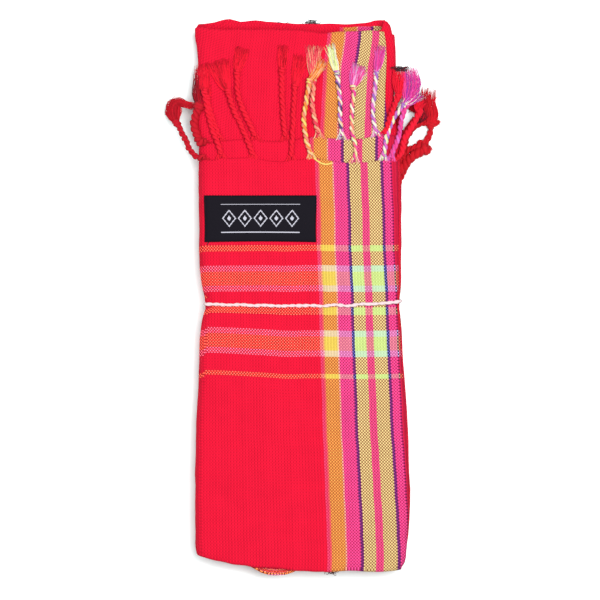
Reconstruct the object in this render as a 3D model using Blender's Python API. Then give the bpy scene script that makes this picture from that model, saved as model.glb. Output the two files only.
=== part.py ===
"""A kikoy, a striped cotton wrap, folded into a flat parcel and held by a string.

The cloth is one sheet. Lengthwise it makes four passes: front outer, front inner, back inner and
back outer. That pack of four then goes back and forth across the parcel in six panels. Both hems
end below the top of the parcel, and their knotted fringe lies on the cloth behind them.

X runs across the parcel, Y up its length and Z away from the surface it rests on. While the parts
are laid out, X is 0 near the middle of the parcel and Y is 0 at the string.
"""

import math
from collections import namedtuple

import bmesh
import bpy
from mathutils import Vector

MM = 0.001

# The cloth and how closely its layers lie
SHEET = 1.0 * MM
LAYER_GAP = 0.25 * MM
PINCHED_GAP = 0.1 * MM
FITTED_GAP = 0.3 * MM
HEM_CLEARANCE = 0.5 * MM
STRAND_CLEARANCE = 0.6 * MM
PANELS = 6
PASSES = 4
FRONT_OUTER, FRONT_INNER, BACK_INNER, BACK_OUTER = range(PASSES)
TURN_ROUNDNESS = 0.75
TURN_ANGLES = (90, 45, 0, -45, -90)
FRONT_STOPS = (1 / 6, 2 / 6, 3 / 6, 4 / 6, 5 / 6)
PANEL_STOPS = (1 / 3, 2 / 3)
ROOM_LEFT_BY_HEM = 0.45
ROOM_LEFT_UNDERNEATH = 0.05

# The string and the groove that it presses into the underside
STRING_DIAMETER = 2.4 * MM
STRING_CORNER = 3.2 * MM
STRING_POINTS_A_CORNER = 6
STRING_STRAIGHT_SHARES = (0.2, 0.4, 0.6, 0.8)
STRING_LIFT = 0.05 * MM
STRING_RISE = 3.0 * MM
STRING_RISE_SHARE = 0.35
STRING_SAG = 1.9 * MM
UNDER_GROOVE = STRING_DIAMETER + 2 * FITTED_GAP

# The woven label on the front
LABEL_LEFT = -76.0 * MM
LABEL_RIGHT = 12.8 * MM
LABEL_LOW = 49.6 * MM
LABEL_HIGH = 86.4 * MM
LABEL_THICK = 1.0 * MM
LABEL_ROW = 7

# The fringe
STRAND_WIDTH = 3.6 * MM
STRAND_HEIGHT = 3.2 * MM
KNOT_WIDTH = 5.0 * MM
KNOT_HEIGHT = 4.4 * MM
BRUSH_HEIGHT = 2.0 * MM
STRIP_DEPTH = 3.0 * MM
STRIP_THICK = 1.2 * MM
DROOP = 0.022 / MM
CROSSING_START = 2.4
CROSSING_END = 3.1
ROUTE_STEP = 0.02

# The parcel's outline, from its lower end up: its left and right edges in mm at each height
Edge = namedtuple("Edge", "y left right")
EDGES = (
    Edge(-214, -79.5, 81.6),
    Edge(-205, -82.5, 84.8),
    Edge(-190, -84.0, 86.1),
    Edge(-149, -84.0, 88.5),
    Edge(-85, -82.6, 86.4),
    Edge(-24, -79.6, 82.4),
    Edge(-7, -75.4, 80.8),
    Edge(6, -75.4, 80.8),
    Edge(22, -79.4, 81.6),
    Edge(52, -81.2, 81.6),
    Edge(130, -81.2, 80.5),
    Edge(150, -84.0, 76.5),
    Edge(195, -81.6, 75.0),
    Edge(215, -84.0, 74.5),
    Edge(227, -81.0, 70.0),
)

# Lines across the parcel on which every layer has points. y is in mm, tilt is how much higher the
# line's left end is than its right end, in mm, pinch is 1 under the string, puff widens the gaps,
# sag says how far the panels have settled past the hems, and follows names the crooked line that
# the row keeps to.
Row = namedtuple("Row", "y tilt pinch puff sag follows")
ROWS = (
    Row(-211, 0.0, 0, 1.0, 0.0, "bottom"),
    Row(-165, 0.0, 0, 1.3, 0.0, "straight"),
    Row(-95, 0.0, 0, 1.1, 0.0, "straight"),
    Row(-26, 0.0, 0, 1.2, 0.0, "string"),
    Row(-5, 0.0, 1, 1.0, 0.0, "string"),
    Row(5, 0.0, 1, 1.0, 0.0, "string"),
    Row(24, 0.0, 0, 1.1, 0.0, "string"),
    Row(78, 0.0, 0, 1.3, 0.0, "straight"),
    Row(114.5, 3.0, 0, 1.1, 0.0, "hem"),
    Row(131.5, -4.0, 0, 1.1, 0.12, "hem"),
    Row(152, 0.0, 0, 1.1, 0.5, "straight"),
    Row(187, 0.0, 0, 1.2, 1.0, "straight"),
    Row(220, 0.0, 0, 1.0, 1.0, "top"),
)
WAIST_ROW = 4
OUTER_HEM_ROW = 8
INNER_HEM_ROW = 9
TOP_ROW = len(ROWS) - 1

# The crooked lines: their heights, and their turning in radians from the right edge to the left
HEM_WAVE = 1.2 * MM
HEM_WAVE_TURN = 17.0
HEM_WAVE_START = 0.6
TOP_WAVE = 1.2 * MM
TOP_WAVE_TURN = 14.0
TOP_WAVE_START = 1.0
TOP_RIPPLE = 0.6 * MM
TOP_RIPPLE_TURN = 33.0
CORNER_START = 0.66
CORNER_RISE = 12.0 * MM
BOTTOM_WAVE = 0.9 * MM
BOTTOM_WAVE_TURN = 15.0

# How far each panel's ends stray, in mm, from the front panel's: hem, top and bottom
Panel = namedtuple("Panel", "hem top bottom")
PANEL_ENDS = (
    Panel(0.0, 0.0, 0.0),
    Panel(-3.0, 3.0, 2.0),
    Panel(2.0, 1.5, 3.5),
    Panel(-4.0, 3.5, 2.5),
    Panel(1.0, 4.5, 3.0),
    Panel(-10.0, 6.5, 4.0),
)

# How far, in mm, each turn of the panels stays inside the outline at the low and the high end
Turn = namedtuple("Turn", "low high")
TURNS = (
    Turn(0.0, 0.0),
    Turn(0.0, 0.5),
    Turn(1.5, 0.8),
    Turn(1.4, 0.0),
    Turn(0.6, 2.0),
)

# The same for the woven edges of the first and the last panel, pass by pass
Selvedge = namedtuple("Selvedge", "low high")
SELVEDGES = (
    Selvedge(1.0, 4.0),
    Selvedge(2.2, 4.6),
    Selvedge(3.2, 5.8),
    Selvedge(2.6, 7.0),
)
LAST_PANEL_INSET = 1.5

# The fringe strands, in mm: where each leaves its strip, bends, is knotted and ends, the width of
# its brushed end, and how far that end is lifted to pass over its neighbour
Strand = namedtuple("Strand", "root_x bend_x bend_y neck_x neck_y knot_x knot_y tip_x tip_y fan lift")
FRONT_STRANDS = (
    Strand(-75.2, -88.0, 127, -93.0, 138, -99.5, 148, -102.0, 161, 10.0, 0.0),
    Strand(-62.8, -69.8, 140, -74.0, 154, -76.4, 171, -77.6, 191, 8.0, 0.0),
    Strand(-37.2, -45.4, 140, -54.0, 157, -59.2, 170, -62.4, 197, 14.0, 0.0),
    Strand(-7.2, -5.8, 140, -4.8, 159, -4.4, 176, 0.5, 199, 11.0, 0.0),
    Strand(9.2, 3.4, 140, 3.0, 160, 6.2, 179, 17.5, 194, 6.0, 4.8),
    Strand(43.2, 43.4, 140, 41.4, 156, 42.8, 174, 48.4, 191, 11.0, 0.0),
    Strand(67.2, 72.6, 140, 74.8, 145, 75.8, 147, 78.2, 153, 3.4, 0.0),
    Strand(71.8, 78.6, 140, 81.4, 149, 84.0, 158, 92.0, 190, 13.0, 0.0),
    Strand(76.4, 86.0, 131, 91.6, 142, 96.0, 154, 102.0, 170, 9.0, 0.0),
)
INNER_STRANDS = (
    Strand(-74.0, -83.2, 146, -86.4, 157, -86.6, 166, -86.0, 184, 4.5, 0.0),
    Strand(-63.0, -65.4, 147, -69.2, 160, -70.2, 169, -70.6, 181, 4.0, 0.0),
    Strand(-35.2, -40.4, 145, -46.6, 160, -50.4, 178, -48.2, 199, 9.0, 0.0),
    Strand(-11.8, -12.8, 146, -13.8, 163, -14.4, 181, -13.8, 207, 8.0, 0.0),
    Strand(15.6, 11.8, 146, 9.8, 161, 12.4, 181, 10.6, 206, 9.0, 0.0),
    Strand(33.6, 32.0, 149, 31.4, 168, 29.8, 186, 23.4, 208, 7.0, 0.0),
    Strand(60.6, 58.0, 149, 58.6, 167, 61.2, 187, 64.6, 205, 6.4, 0.0),
    Strand(66.6, 68.0, 147, 71.4, 158, 77.0, 170, 79.4, 188, 6.0, 0.0),
)
UNDER_STRANDS = (
    Strand(82.6, 91.0, 117.4, 104.0, 132, 107.4, 156, 104.8, 173, 7.0, 0.0),
    Strand(82.6, 91.6, 112.2, 108.6, 128, 112.4, 140, 113.6, 148, 4.4, 0.0),
)
UNDER_STRIP_LEFT = 62.0 * MM
UNDER_STRIP_RIGHT = 82.6 * MM
UNDER_STRIP_THICK = 0.9 * MM
UNDER_STRIP_INSET = 1.8 * MM
UNDER_STRAND_GAP = 0.8 * MM


def between(value, low, high):
    """Share of the way from low to high, kept to 0..1."""
    return min(1.0, max(0.0, (value - low) / (high - low)))


def mix(first, second, share):
    return first + (second - first) * share


def read_table(rows, key, column, at):
    """Straight-line reading of a table's column at a value of its key column."""
    if at <= getattr(rows[0], key):
        return getattr(rows[0], column)
    for low, high in zip(rows, rows[1:]):
        if at <= getattr(high, key):
            share = between(at, getattr(low, key), getattr(high, key))
            return mix(getattr(low, column), getattr(high, column), share)
    return getattr(rows[-1], column)


def edge_left(y):
    return read_table(EDGES, "y", "left", y / MM) * MM


def edge_right(y):
    return read_table(EDGES, "y", "right", y / MM) * MM


def string_line(across):
    """Height of the string, from the right edge, across = 0, to the left edge, across = 1."""
    rise = max(0.0, 1.0 - across / STRING_RISE_SHARE)
    return STRING_RISE * rise * rise - STRING_SAG * math.sin(across * math.pi)


def hem_line(across):
    """Scallops of the hems about their straight line."""
    return HEM_WAVE * math.sin(across * HEM_WAVE_TURN + HEM_WAVE_START)


def top_line(across):
    """Two uneven waves along the upper fold."""
    return (TOP_WAVE * math.sin(across * TOP_WAVE_TURN + TOP_WAVE_START)
            + TOP_RIPPLE * math.sin(across * TOP_RIPPLE_TURN))


def bottom_line(across):
    """The lower fold rises towards its left corner."""
    corner = between(across, CORNER_START, 1.0)
    return CORNER_RISE * corner * corner + BOTTOM_WAVE * math.sin(across * BOTTOM_WAVE_TURN)


def row_y(index, panel, across):
    """Height of a row on a panel, with the crookedness that it follows."""
    row = ROWS[index]
    ends = PANEL_ENDS[panel]
    y = (row.y + row.tilt * (across - 0.5)) * MM
    if row.follows == "string":
        return y + string_line(across)
    if row.follows == "hem":
        return y + ends.hem * MM + hem_line(across)
    if row.follows == "top":
        return y + ends.top * MM + top_line(across)
    if row.follows == "bottom":
        return y + ends.bottom * MM + bottom_line(across)
    return y


def level_of(panel, sheet_pass):
    """Layer number, counted up from the surface. Every second panel lies face down."""
    place = sheet_pass if panel % 2 == 0 else PASSES - 1 - sheet_pass
    return PANELS * PASSES - 1 - (PASSES * panel + place)


def pass_at(level):
    depth = PANELS * PASSES - 1 - level
    panel, place = divmod(depth, PASSES)
    return panel, (place if panel % 2 == 0 else PASSES - 1 - place)


def stack_floors(index):
    """Undersides of all layers along a row, from the lowest layer up."""
    row = ROWS[index]
    gap = PINCHED_GAP if row.pinch else LAYER_GAP * row.puff
    height = UNDER_GROOVE if row.pinch else 0.0
    floors = []
    for level in range(PANELS * PASSES):
        floors.append(height)
        panel, sheet_pass = pass_at(level)
        share = 1.0
        if sheet_pass in (FRONT_OUTER, FRONT_INNER):
            room = ROOM_LEFT_UNDERNEATH if panel == PANELS - 1 else ROOM_LEFT_BY_HEM
            share = mix(1.0, room, row.sag)
        height += (SHEET + gap) * share
    return floors


FLOORS = [stack_floors(index) for index in range(len(ROWS))]


def surface_z(panel, sheet_pass, face, index):
    """Height of one side of a pass. face is True for the cloth's face, the side that is up on the
    front outer pass of the first panel."""
    up = sheet_pass in (FRONT_OUTER, BACK_INNER)
    if not face:
        up = not up
    if panel % 2 == 1:
        up = not up
    return FLOORS[index][level_of(panel, sheet_pass)] + (SHEET if up else 0.0)


def outermost_pass(turn, index):
    """The pass on the outside of a turn. Turns 0, 2 and 4 are on the left, 1 and 3 on the right."""
    if turn % 2 == 1:
        return BACK_OUTER
    if index <= OUTER_HEM_ROW:
        return FRONT_OUTER
    if index == INNER_HEM_ROW:
        return FRONT_INNER
    return BACK_INNER


def turn_reach(turn, index):
    """How far the outermost pass bulges past the middle of its turn."""
    level_up = level_of(turn, outermost_pass(turn, index))
    level_down = level_of(turn + 1, outermost_pass(turn, index))
    height = FLOORS[index][level_up] + SHEET - FLOORS[index][level_down]
    return height / 2 * TURN_ROUNDNESS


def inset(row, y):
    share = between(y / MM, EDGES[0].y, EDGES[-1].y)
    return mix(row.low, row.high, share) * MM


def turn_x(turn, index, y):
    """X of the middle of a turn."""
    reach = turn_reach(turn, index)
    if turn % 2 == 0:
        return edge_left(y) + inset(TURNS[turn], y) + reach
    return edge_right(y) - inset(TURNS[turn], y) - reach


def selvedge_x(panel, sheet_pass, y):
    extra = LAST_PANEL_INSET * MM if panel == PANELS - 1 else 0.0
    return edge_right(y) - inset(SELVEDGES[sheet_pass], y) - extra


Step = namedtuple("Step", "panel turn angle across")


def width_steps():
    """Every line along the cloth, from the first panel's woven edge to the last panel's."""
    steps = [Step(0, None, 0, 0.0)]
    for panel in range(PANELS):
        stops = FRONT_STOPS if panel == 0 else PANEL_STOPS
        for stop in stops if panel % 2 == 0 else stops[::-1]:
            steps.append(Step(panel, None, 0, stop))
        if panel < PANELS - 1:
            side = 1.0 if panel % 2 == 0 else 0.0
            for angle in TURN_ANGLES:
                steps.append(Step(panel, panel, angle, side))
    steps.append(Step(PANELS - 1, None, 0, 0.0))
    return steps


def point_xz(step, sheet_pass, face, index, y):
    """Where a line along the cloth meets a row, on one side of a pass."""
    panel = step.panel
    if step.turn is not None:
        upper = surface_z(panel, sheet_pass, face, index)
        lower = surface_z(panel + 1, sheet_pass, face, index)
        half = (upper - lower) / 2
        angle = math.radians(step.angle)
        outward = -1 if step.turn % 2 == 0 else 1
        x = turn_x(step.turn, index, y) + outward * half * TURN_ROUNDNESS * math.cos(angle)
        return x, (upper + lower) / 2 + half * math.sin(angle)
    left = turn_x(panel if panel % 2 == 0 else panel - 1, index, y)
    if panel in (0, PANELS - 1):
        right = selvedge_x(panel, sheet_pass, y)
    else:
        right = turn_x(panel if panel % 2 == 1 else panel - 1, index, y)
    return mix(right, left, step.across), surface_z(panel, sheet_pass, face, index)


# A line across the cloth: a row of one pass, or part of the way round the fold between two passes
Station = namedtuple("Station", "index first second angle")


def length_stations():
    """Every line across the cloth, from the front outer hem to the front inner hem."""
    stations = [Station(row, FRONT_OUTER, FRONT_OUTER, 90) for row in range(OUTER_HEM_ROW, -1, -1)]
    stations += [Station(0, FRONT_OUTER, BACK_OUTER, angle) for angle in TURN_ANGLES[1:-1]]
    stations += [Station(row, BACK_OUTER, BACK_OUTER, 90) for row in range(TOP_ROW + 1)]
    stations += [Station(TOP_ROW, BACK_OUTER, BACK_INNER, angle) for angle in TURN_ANGLES[1:-1]]
    stations += [Station(row, BACK_INNER, BACK_INNER, 90) for row in range(TOP_ROW, -1, -1)]
    stations += [Station(0, BACK_INNER, FRONT_INNER, angle) for angle in TURN_ANGLES[1:-1]]
    stations += [Station(row, FRONT_INNER, FRONT_INNER, 90) for row in range(INNER_HEM_ROW + 1)]
    return stations


def cloth_point(step, station, face):
    """One corner point of the cloth's surface."""
    y = row_y(station.index, step.panel, step.across)
    if step.turn is not None:
        way_round = 0.5 - step.angle / 180
        y = mix(y, row_y(station.index, step.panel + 1, step.across), way_round)
    x, z = point_xz(step, station.first, face, station.index, y)
    if station.second == station.first:
        return Vector((x, y, z))
    other_x, other_z = point_xz(step, station.second, face, station.index, y)
    flat_gap = abs(surface_z(step.panel, station.first, face, station.index)
                   - surface_z(step.panel, station.second, face, station.index))
    angle = math.radians(station.angle)
    share = (1 - math.sin(angle)) / 2
    outward = 1 if station.index == TOP_ROW else -1
    y += outward * flat_gap / 2 * math.cos(angle)
    return Vector((mix(x, other_x, share), y, mix(z, other_z, share)))


def new_object(name, mesh, colour, roughness):
    """Put a mesh or curve in the scene with a material of its own."""
    part = bpy.data.objects.new(name, mesh)
    bpy.context.collection.objects.link(part)
    material = bpy.data.materials.new(name)
    material.use_nodes = True
    shader = material.node_tree.nodes["Principled BSDF"]
    shader.inputs["Base Color"].default_value = (*colour, 1.0)
    shader.inputs["Roughness"].default_value = roughness
    shader.inputs["Metallic"].default_value = 0.0
    mesh.materials.append(material)
    return part


def finish_mesh(bm, name):
    bmesh.ops.recalc_face_normals(bm, faces=bm.faces)
    mesh = bpy.data.meshes.new(name)
    bm.to_mesh(mesh)
    bm.free()
    return mesh


def make_cloth():
    """The whole sheet: its face, its back and the four edges that close them."""
    bm = bmesh.new()
    steps = width_steps()
    stations = length_stations()
    sides = []
    for face in (True, False):
        sides.append([[bm.verts.new(cloth_point(step, station, face)) for station in stations]
                      for step in steps])
    for grid in sides:
        for near, far in zip(grid, grid[1:]):
            for here in range(len(stations) - 1):
                bm.faces.new((near[here], near[here + 1], far[here + 1], far[here]))
    top, under = sides
    last = len(stations) - 1
    for step in range(len(steps) - 1):
        for end in (0, last):
            bm.faces.new((top[step][end], top[step + 1][end], under[step + 1][end], under[step][end]))
    for here in range(last):
        for end in (0, len(steps) - 1):
            bm.faces.new((top[end][here], top[end][here + 1], under[end][here + 1], under[end][here]))
    mesh = finish_mesh(bm, "cloth")
    return new_object("cloth", mesh, (0.75, 0.016, 0.045), 0.85)


def front_row_y(index, across):
    """Height of a row on the first panel, straight between the lines that run along the cloth."""
    stops = (0.0, *FRONT_STOPS, 1.0)
    place = min(int(across * (len(stops) - 1)), len(stops) - 2)
    share = between(across, stops[place], stops[place + 1])
    return mix(row_y(index, 0, stops[place]), row_y(index, 0, stops[place + 1]), share)


def front_height(sheet_pass, across, y):
    """Top of one pass of the first panel, read between its rows as its flat facets lie."""
    level = level_of(0, sheet_pass)
    previous = None
    for index in range(len(ROWS)):
        here = (front_row_y(index, across), FLOORS[index][level] + SHEET)
        if y <= here[0]:
            if previous is None:
                return here[1]
            return mix(previous[1], here[1], between(y, previous[0], here[0]))
        previous = here
    return previous[1]


def front_ends(index):
    """X of the first panel's woven edge and of its turn, at a row."""
    y = ROWS[index].y * MM
    return selvedge_x(0, FRONT_OUTER, y), turn_x(0, index, y)


def resting_height(x, y):
    """Height on which a strand of the front fringe lies: the inner hem, then the back pass."""
    across = between(x, *front_ends(INNER_HEM_ROW))
    hem = front_row_y(INNER_HEM_ROW, across)
    share = between(y, hem + 2 * STRIP_DEPTH, hem + 5 * STRIP_DEPTH)
    over_hem = front_height(FRONT_INNER, across, min(y, hem))
    over_back = front_height(BACK_INNER, across, y)
    beyond = max(0.0, edge_left(y) - x, x - edge_right(y))
    return mix(over_hem, over_back, share) - DROOP * beyond * beyond


def smooth_route(points, places):
    """Points read from one smooth curve through the given ones."""
    padded = [2 * points[0] - points[1]] + points + [2 * points[-1] - points[-2]]
    route = []
    for place in places:
        span = min(int(place), len(points) - 2)
        t = place - span
        before, start, end, after = padded[span:span + 4]
        route.append(0.5 * (2 * start + (end - before) * t
                            + (2 * before - 5 * start + 4 * end - after) * t * t
                            + (3 * start - before - 3 * end + after) * t * t * t))
    return route


# Sections along a strand: the place on its route, where 0 is the root, 3 the knot and 4 the tip,
# its share of the knot's size, and its share of the brush's
Section = namedtuple("Section", "place knot brush")
SECTIONS = (
    Section(0.3, 0.0, 0.0),
    Section(0.65, 0.0, 0.0),
    Section(1.0, 0.0, 0.0),
    Section(1.4, 0.0, 0.0),
    Section(1.9, 0.0, 0.0),
    Section(2.5, 0.0, 0.0),
    Section(2.85, 0.0, 0.0),
    Section(3.0, 1.0, 0.0),
    Section(3.15, 0.2, 0.0),
    Section(3.6, 0.0, 0.75),
    Section(4.0, 0.0, 1.0),
)


def grow_strand(bm, root, strand, height_at):
    """Extrude a strand from a face of its strip: twisted cord, knot and brushed end."""
    start = root.calc_center_median()
    outward = root.normal.copy()
    side = Vector((outward.y, -outward.x, 0.0))
    corners = [(1 if (corner.co - start).dot(side) > 0 else -1, 1 if corner.co.z > start.z else -1)
               for corner in root.verts]
    stops = [(start.x, start.y), (strand.bend_x * MM, strand.bend_y * MM),
             (strand.neck_x * MM, strand.neck_y * MM), (strand.knot_x * MM, strand.knot_y * MM),
             (strand.tip_x * MM, strand.tip_y * MM)]
    points = [Vector((x, y, 0.0)) for x, y in stops]
    route = smooth_route(points, [section.place for section in SECTIONS])
    ahead = smooth_route(points, [section.place + ROUTE_STEP for section in SECTIONS])
    behind = smooth_route(points, [section.place - ROUTE_STEP for section in SECTIONS])
    face = root
    for section, spot, after, before in zip(SECTIONS, route, ahead, behind):
        run = (after - before).normalized()
        side = Vector((run.y, -run.x, 0.0))
        width = mix(mix(STRAND_WIDTH, KNOT_WIDTH, section.knot), strand.fan * MM, section.brush)
        height = mix(mix(STRAND_HEIGHT, KNOT_HEIGHT, section.knot), BRUSH_HEIGHT, section.brush)
        lift = strand.lift * MM * between(section.place, CROSSING_START, CROSSING_END)
        base = height_at(spot.x, spot.y) + lift
        face = bmesh.ops.extrude_discrete_faces(bm, faces=[face])["faces"][0]
        for corner, (across, up) in zip(face.verts, corners):
            corner.co = Vector((spot.x, spot.y, 0.0)) + side * across * width / 2
            corner.co.z = base + (height if up > 0 else 0.0)


def make_fringe(name, strands, hem_row, under_pass, colour):
    """A strip along a hem of the first panel, with its strands."""
    right, left = front_ends(hem_row)
    half = STRAND_WIDTH / 2
    spans = [(strand.root_x * MM - half, strand.root_x * MM + half) for strand in strands]
    cuts = [x for span in spans for x in span]
    bends = [mix(right, left, stop) for stop in FRONT_STOPS]
    cuts += [x for x in bends if not any(low - MM < x < high + MM for low, high in spans)]
    cuts = sorted(x for x in cuts if spans[0][0] <= x <= spans[-1][1])
    root_starts = [low for low, high in spans]
    bm = bmesh.new()
    rings = []
    for x in cuts:
        across = between(x, right, left)
        low = front_row_y(hem_row, across) + HEM_CLEARANCE
        high = low + STRIP_DEPTH
        floor = front_height(under_pass, across, low) + FITTED_GAP
        corners = ((low, 0.0), (high, 0.0), (high, STRIP_THICK), (low, STRIP_THICK))
        rings.append([bm.verts.new((x, y, floor + up)) for y, up in corners])
    roots = []
    for x, ring, after in zip(cuts, rings, rings[1:]):
        for corner in range(4):
            following = (corner + 1) % 4
            face = bm.faces.new((ring[corner], ring[following], after[following], after[corner]))
            if corner == 1 and x in root_starts:
                roots.append(face)
    bm.faces.new(rings[0])
    bm.faces.new(rings[-1])
    bmesh.ops.recalc_face_normals(bm, faces=bm.faces)

    def height_at(x, y):
        return resting_height(x, y) + STRAND_CLEARANCE

    for root, strand in zip(roots, strands):
        grow_strand(bm, root, strand, height_at)
    return new_object(name, finish_mesh(bm, name), colour, 0.9)


def make_under_fringe():
    """The lowest panel's strip, under its second pass, with two strands on the surface."""
    bm = bmesh.new()
    first = row_y(OUTER_HEM_ROW, PANELS - 1, 0.0) + UNDER_STRIP_INSET
    second = first + STRAND_WIDTH + UNDER_STRAND_GAP
    cuts = (first, first + STRAND_WIDTH, second, second + STRAND_WIDTH)
    rings = []
    for y in cuts:
        corners = ((UNDER_STRIP_LEFT, 0.0), (UNDER_STRIP_RIGHT, 0.0),
                   (UNDER_STRIP_RIGHT, UNDER_STRIP_THICK), (UNDER_STRIP_LEFT, UNDER_STRIP_THICK))
        rings.append([bm.verts.new((x, y, z)) for x, z in corners])
    roots = []
    for place, (ring, after) in enumerate(zip(rings, rings[1:])):
        for corner in range(4):
            following = (corner + 1) % 4
            face = bm.faces.new((ring[corner], ring[following], after[following], after[corner]))
            if corner == 1 and place != 1:
                roots.append(face)
    bm.faces.new(rings[0])
    bm.faces.new(rings[-1])
    bmesh.ops.recalc_face_normals(bm, faces=bm.faces)

    def height_at(x, y):
        return 0.0

    for root, strand in zip(reversed(roots), UNDER_STRANDS):
        grow_strand(bm, root, strand, height_at)
    return new_object("fringe_under", finish_mesh(bm, "fringe_under"), (0.6, 0.012, 0.035), 0.9)


def make_label():
    """A flat woven label that lies on the front outer pass."""
    middle = ROWS[LABEL_ROW].y * MM
    bm = bmesh.new()
    rings = []
    for y in (LABEL_LOW, middle, LABEL_HIGH):
        floor = front_height(FRONT_OUTER, 0.5, y) + FITTED_GAP
        corners = ((LABEL_LEFT, 0.0), (LABEL_RIGHT, 0.0),
                   (LABEL_RIGHT, LABEL_THICK), (LABEL_LEFT, LABEL_THICK))
        rings.append([bm.verts.new((x, y, floor + up)) for x, up in corners])
    for ring, after in zip(rings, rings[1:]):
        for corner in range(4):
            following = (corner + 1) % 4
            bm.faces.new((ring[corner], ring[following], after[following], after[corner]))
    bm.faces.new(rings[0])
    bm.faces.new(rings[-1])
    return new_object("label", finish_mesh(bm, "label"), (0.012, 0.012, 0.03), 0.7)


def make_string():
    """One loop of twine in the groove round the waist."""
    radius = STRING_DIAMETER / 2
    left = edge_left(0.0) - FITTED_GAP - radius
    right = edge_right(0.0) + FITTED_GAP + radius
    low = radius + STRING_LIFT
    high = FLOORS[WAIST_ROW][level_of(0, FRONT_OUTER)] + SHEET + FITTED_GAP + radius
    inner_left = left + STRING_CORNER
    inner_right = right - STRING_CORNER
    corners = (
        (inner_right, high - STRING_CORNER, 0),
        (inner_left, high - STRING_CORNER, 90),
        (inner_left, low + STRING_CORNER, 180),
        (inner_right, low + STRING_CORNER, 270),
    )
    points = []
    for x, z, start in corners:
        for turn in range(STRING_POINTS_A_CORNER + 1):
            angle = math.radians(start + 90 * turn / STRING_POINTS_A_CORNER)
            points.append((x + STRING_CORNER * math.cos(angle), z + STRING_CORNER * math.sin(angle)))
        if start in (0, 180):
            far = inner_left if start == 0 else inner_right
            z_here = points[-1][1]
            points += [(mix(x, far, share), z_here) for share in STRING_STRAIGHT_SHARES]
    curve = bpy.data.curves.new("string", "CURVE")
    curve.dimensions = "3D"
    curve.bevel_depth = radius
    curve.bevel_resolution = 2
    curve.use_fill_caps = True
    spline = curve.splines.new("POLY")
    spline.points.add(len(points) - 1)
    for spot, (x, z) in zip(spline.points, points):
        spot.co = (x, string_line(between(x, right, left)), z, 1.0)
    spline.use_cyclic_u = True
    return new_object("string", curve, (0.85, 0.78, 0.74), 0.8)


def stand_on_origin(parts):
    """Hang the parts on an empty, placed so that the origin is under the middle of them all."""
    bpy.context.view_layer.update()
    graph = bpy.context.evaluated_depsgraph_get()
    spots = []
    for part in parts:
        shape = part.evaluated_get(graph)
        mesh = shape.to_mesh()
        spots += [part.matrix_world @ vertex.co for vertex in mesh.vertices]
        shape.to_mesh_clear()
    xs = [spot.x for spot in spots]
    ys = [spot.y for spot in spots]
    base = bpy.data.objects.new("parcel", None)
    bpy.context.collection.objects.link(base)
    base.location = (-(min(xs) + max(xs)) / 2, -(min(ys) + max(ys)) / 2, 0.0)
    for part in parts:
        part.parent = base


for leftover in list(bpy.data.objects):
    bpy.data.objects.remove(leftover, do_unlink=True)

stand_on_origin([
    make_cloth(),
    make_fringe("fringe_front", FRONT_STRANDS, OUTER_HEM_ROW, FRONT_INNER, (0.7, 0.014, 0.04)),
    make_fringe("fringe_inner", INNER_STRANDS, INNER_HEM_ROW, BACK_INNER, (0.65, 0.012, 0.038)),
    make_under_fringe(),
    make_label(),
    make_string(),
])
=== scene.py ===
import math
from bisect import bisect_right
from collections import namedtuple
from functools import cache
from random import Random

import bpy
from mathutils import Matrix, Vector, noise


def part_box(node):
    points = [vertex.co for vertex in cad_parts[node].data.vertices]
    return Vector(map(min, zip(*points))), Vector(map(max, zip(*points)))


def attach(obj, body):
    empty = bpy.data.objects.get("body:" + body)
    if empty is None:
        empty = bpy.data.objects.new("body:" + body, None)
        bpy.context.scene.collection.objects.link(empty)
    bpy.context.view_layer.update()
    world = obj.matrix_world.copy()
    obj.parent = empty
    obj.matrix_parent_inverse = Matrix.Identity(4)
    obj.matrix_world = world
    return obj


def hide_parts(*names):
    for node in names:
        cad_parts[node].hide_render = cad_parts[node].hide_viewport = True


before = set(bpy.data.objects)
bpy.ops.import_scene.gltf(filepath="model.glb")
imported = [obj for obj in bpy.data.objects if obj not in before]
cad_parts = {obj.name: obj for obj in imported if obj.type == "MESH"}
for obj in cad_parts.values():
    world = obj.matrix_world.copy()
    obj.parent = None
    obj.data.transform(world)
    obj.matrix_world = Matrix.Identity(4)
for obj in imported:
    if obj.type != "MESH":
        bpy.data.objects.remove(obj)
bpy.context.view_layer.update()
bpy.ops.object.select_all(action="DESELECT")

# The room is a plain studio: a pale floor that the light takes to pure white, a wide soft light
# above on the right, a weaker one on the left, and a camera straight above the parcel. The floor is
# a little cool, which takes the cloth's red out of its shadow. Places are measured from the middle
# of the string.
MM = 0.001
LABEL_PLACE = Vector((-31.6, 68.0, 0.0)) * MM
PHOTO_SPAN = 480 * MM
PHOTO_MIDDLE = Vector((0.0, 3.2, 24.0)) * MM
LENS = 200
SENSOR = 36
FLOOR_SPAN = 8
FLOOR_BELOW = 0.2 * MM
FLOOR_COLOUR = (0.83, 0.92, 0.915, 1)
FLOOR_ROUGHNESS = 0.9
ROOM_LIGHT = 0.36


def table(columns, *rows):
    """The rows of a small table, with its columns' names."""
    named = namedtuple("Row", columns)
    return [named(*row) for row in rows]


label_low, label_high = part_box("label")
layout = (label_low + label_high) / 2 - LABEL_PLACE
layout.z = 0.0

camera_height = Vector((0.0, 0.0, PHOTO_SPAN * LENS / SENSOR))
bpy.ops.object.camera_add(location=layout + PHOTO_MIDDLE + camera_height, rotation=(0, 0, 0))
camera = bpy.context.object
camera.data.lens = LENS
camera.data.sensor_width = SENSOR
bpy.context.scene.camera = camera
bpy.context.scene.view_settings.view_transform = "Standard"
# Without this the render's noise filter takes the weave for noise and smooths it away
bpy.context.scene.cycles.denoising_prefilter = "NONE"

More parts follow.
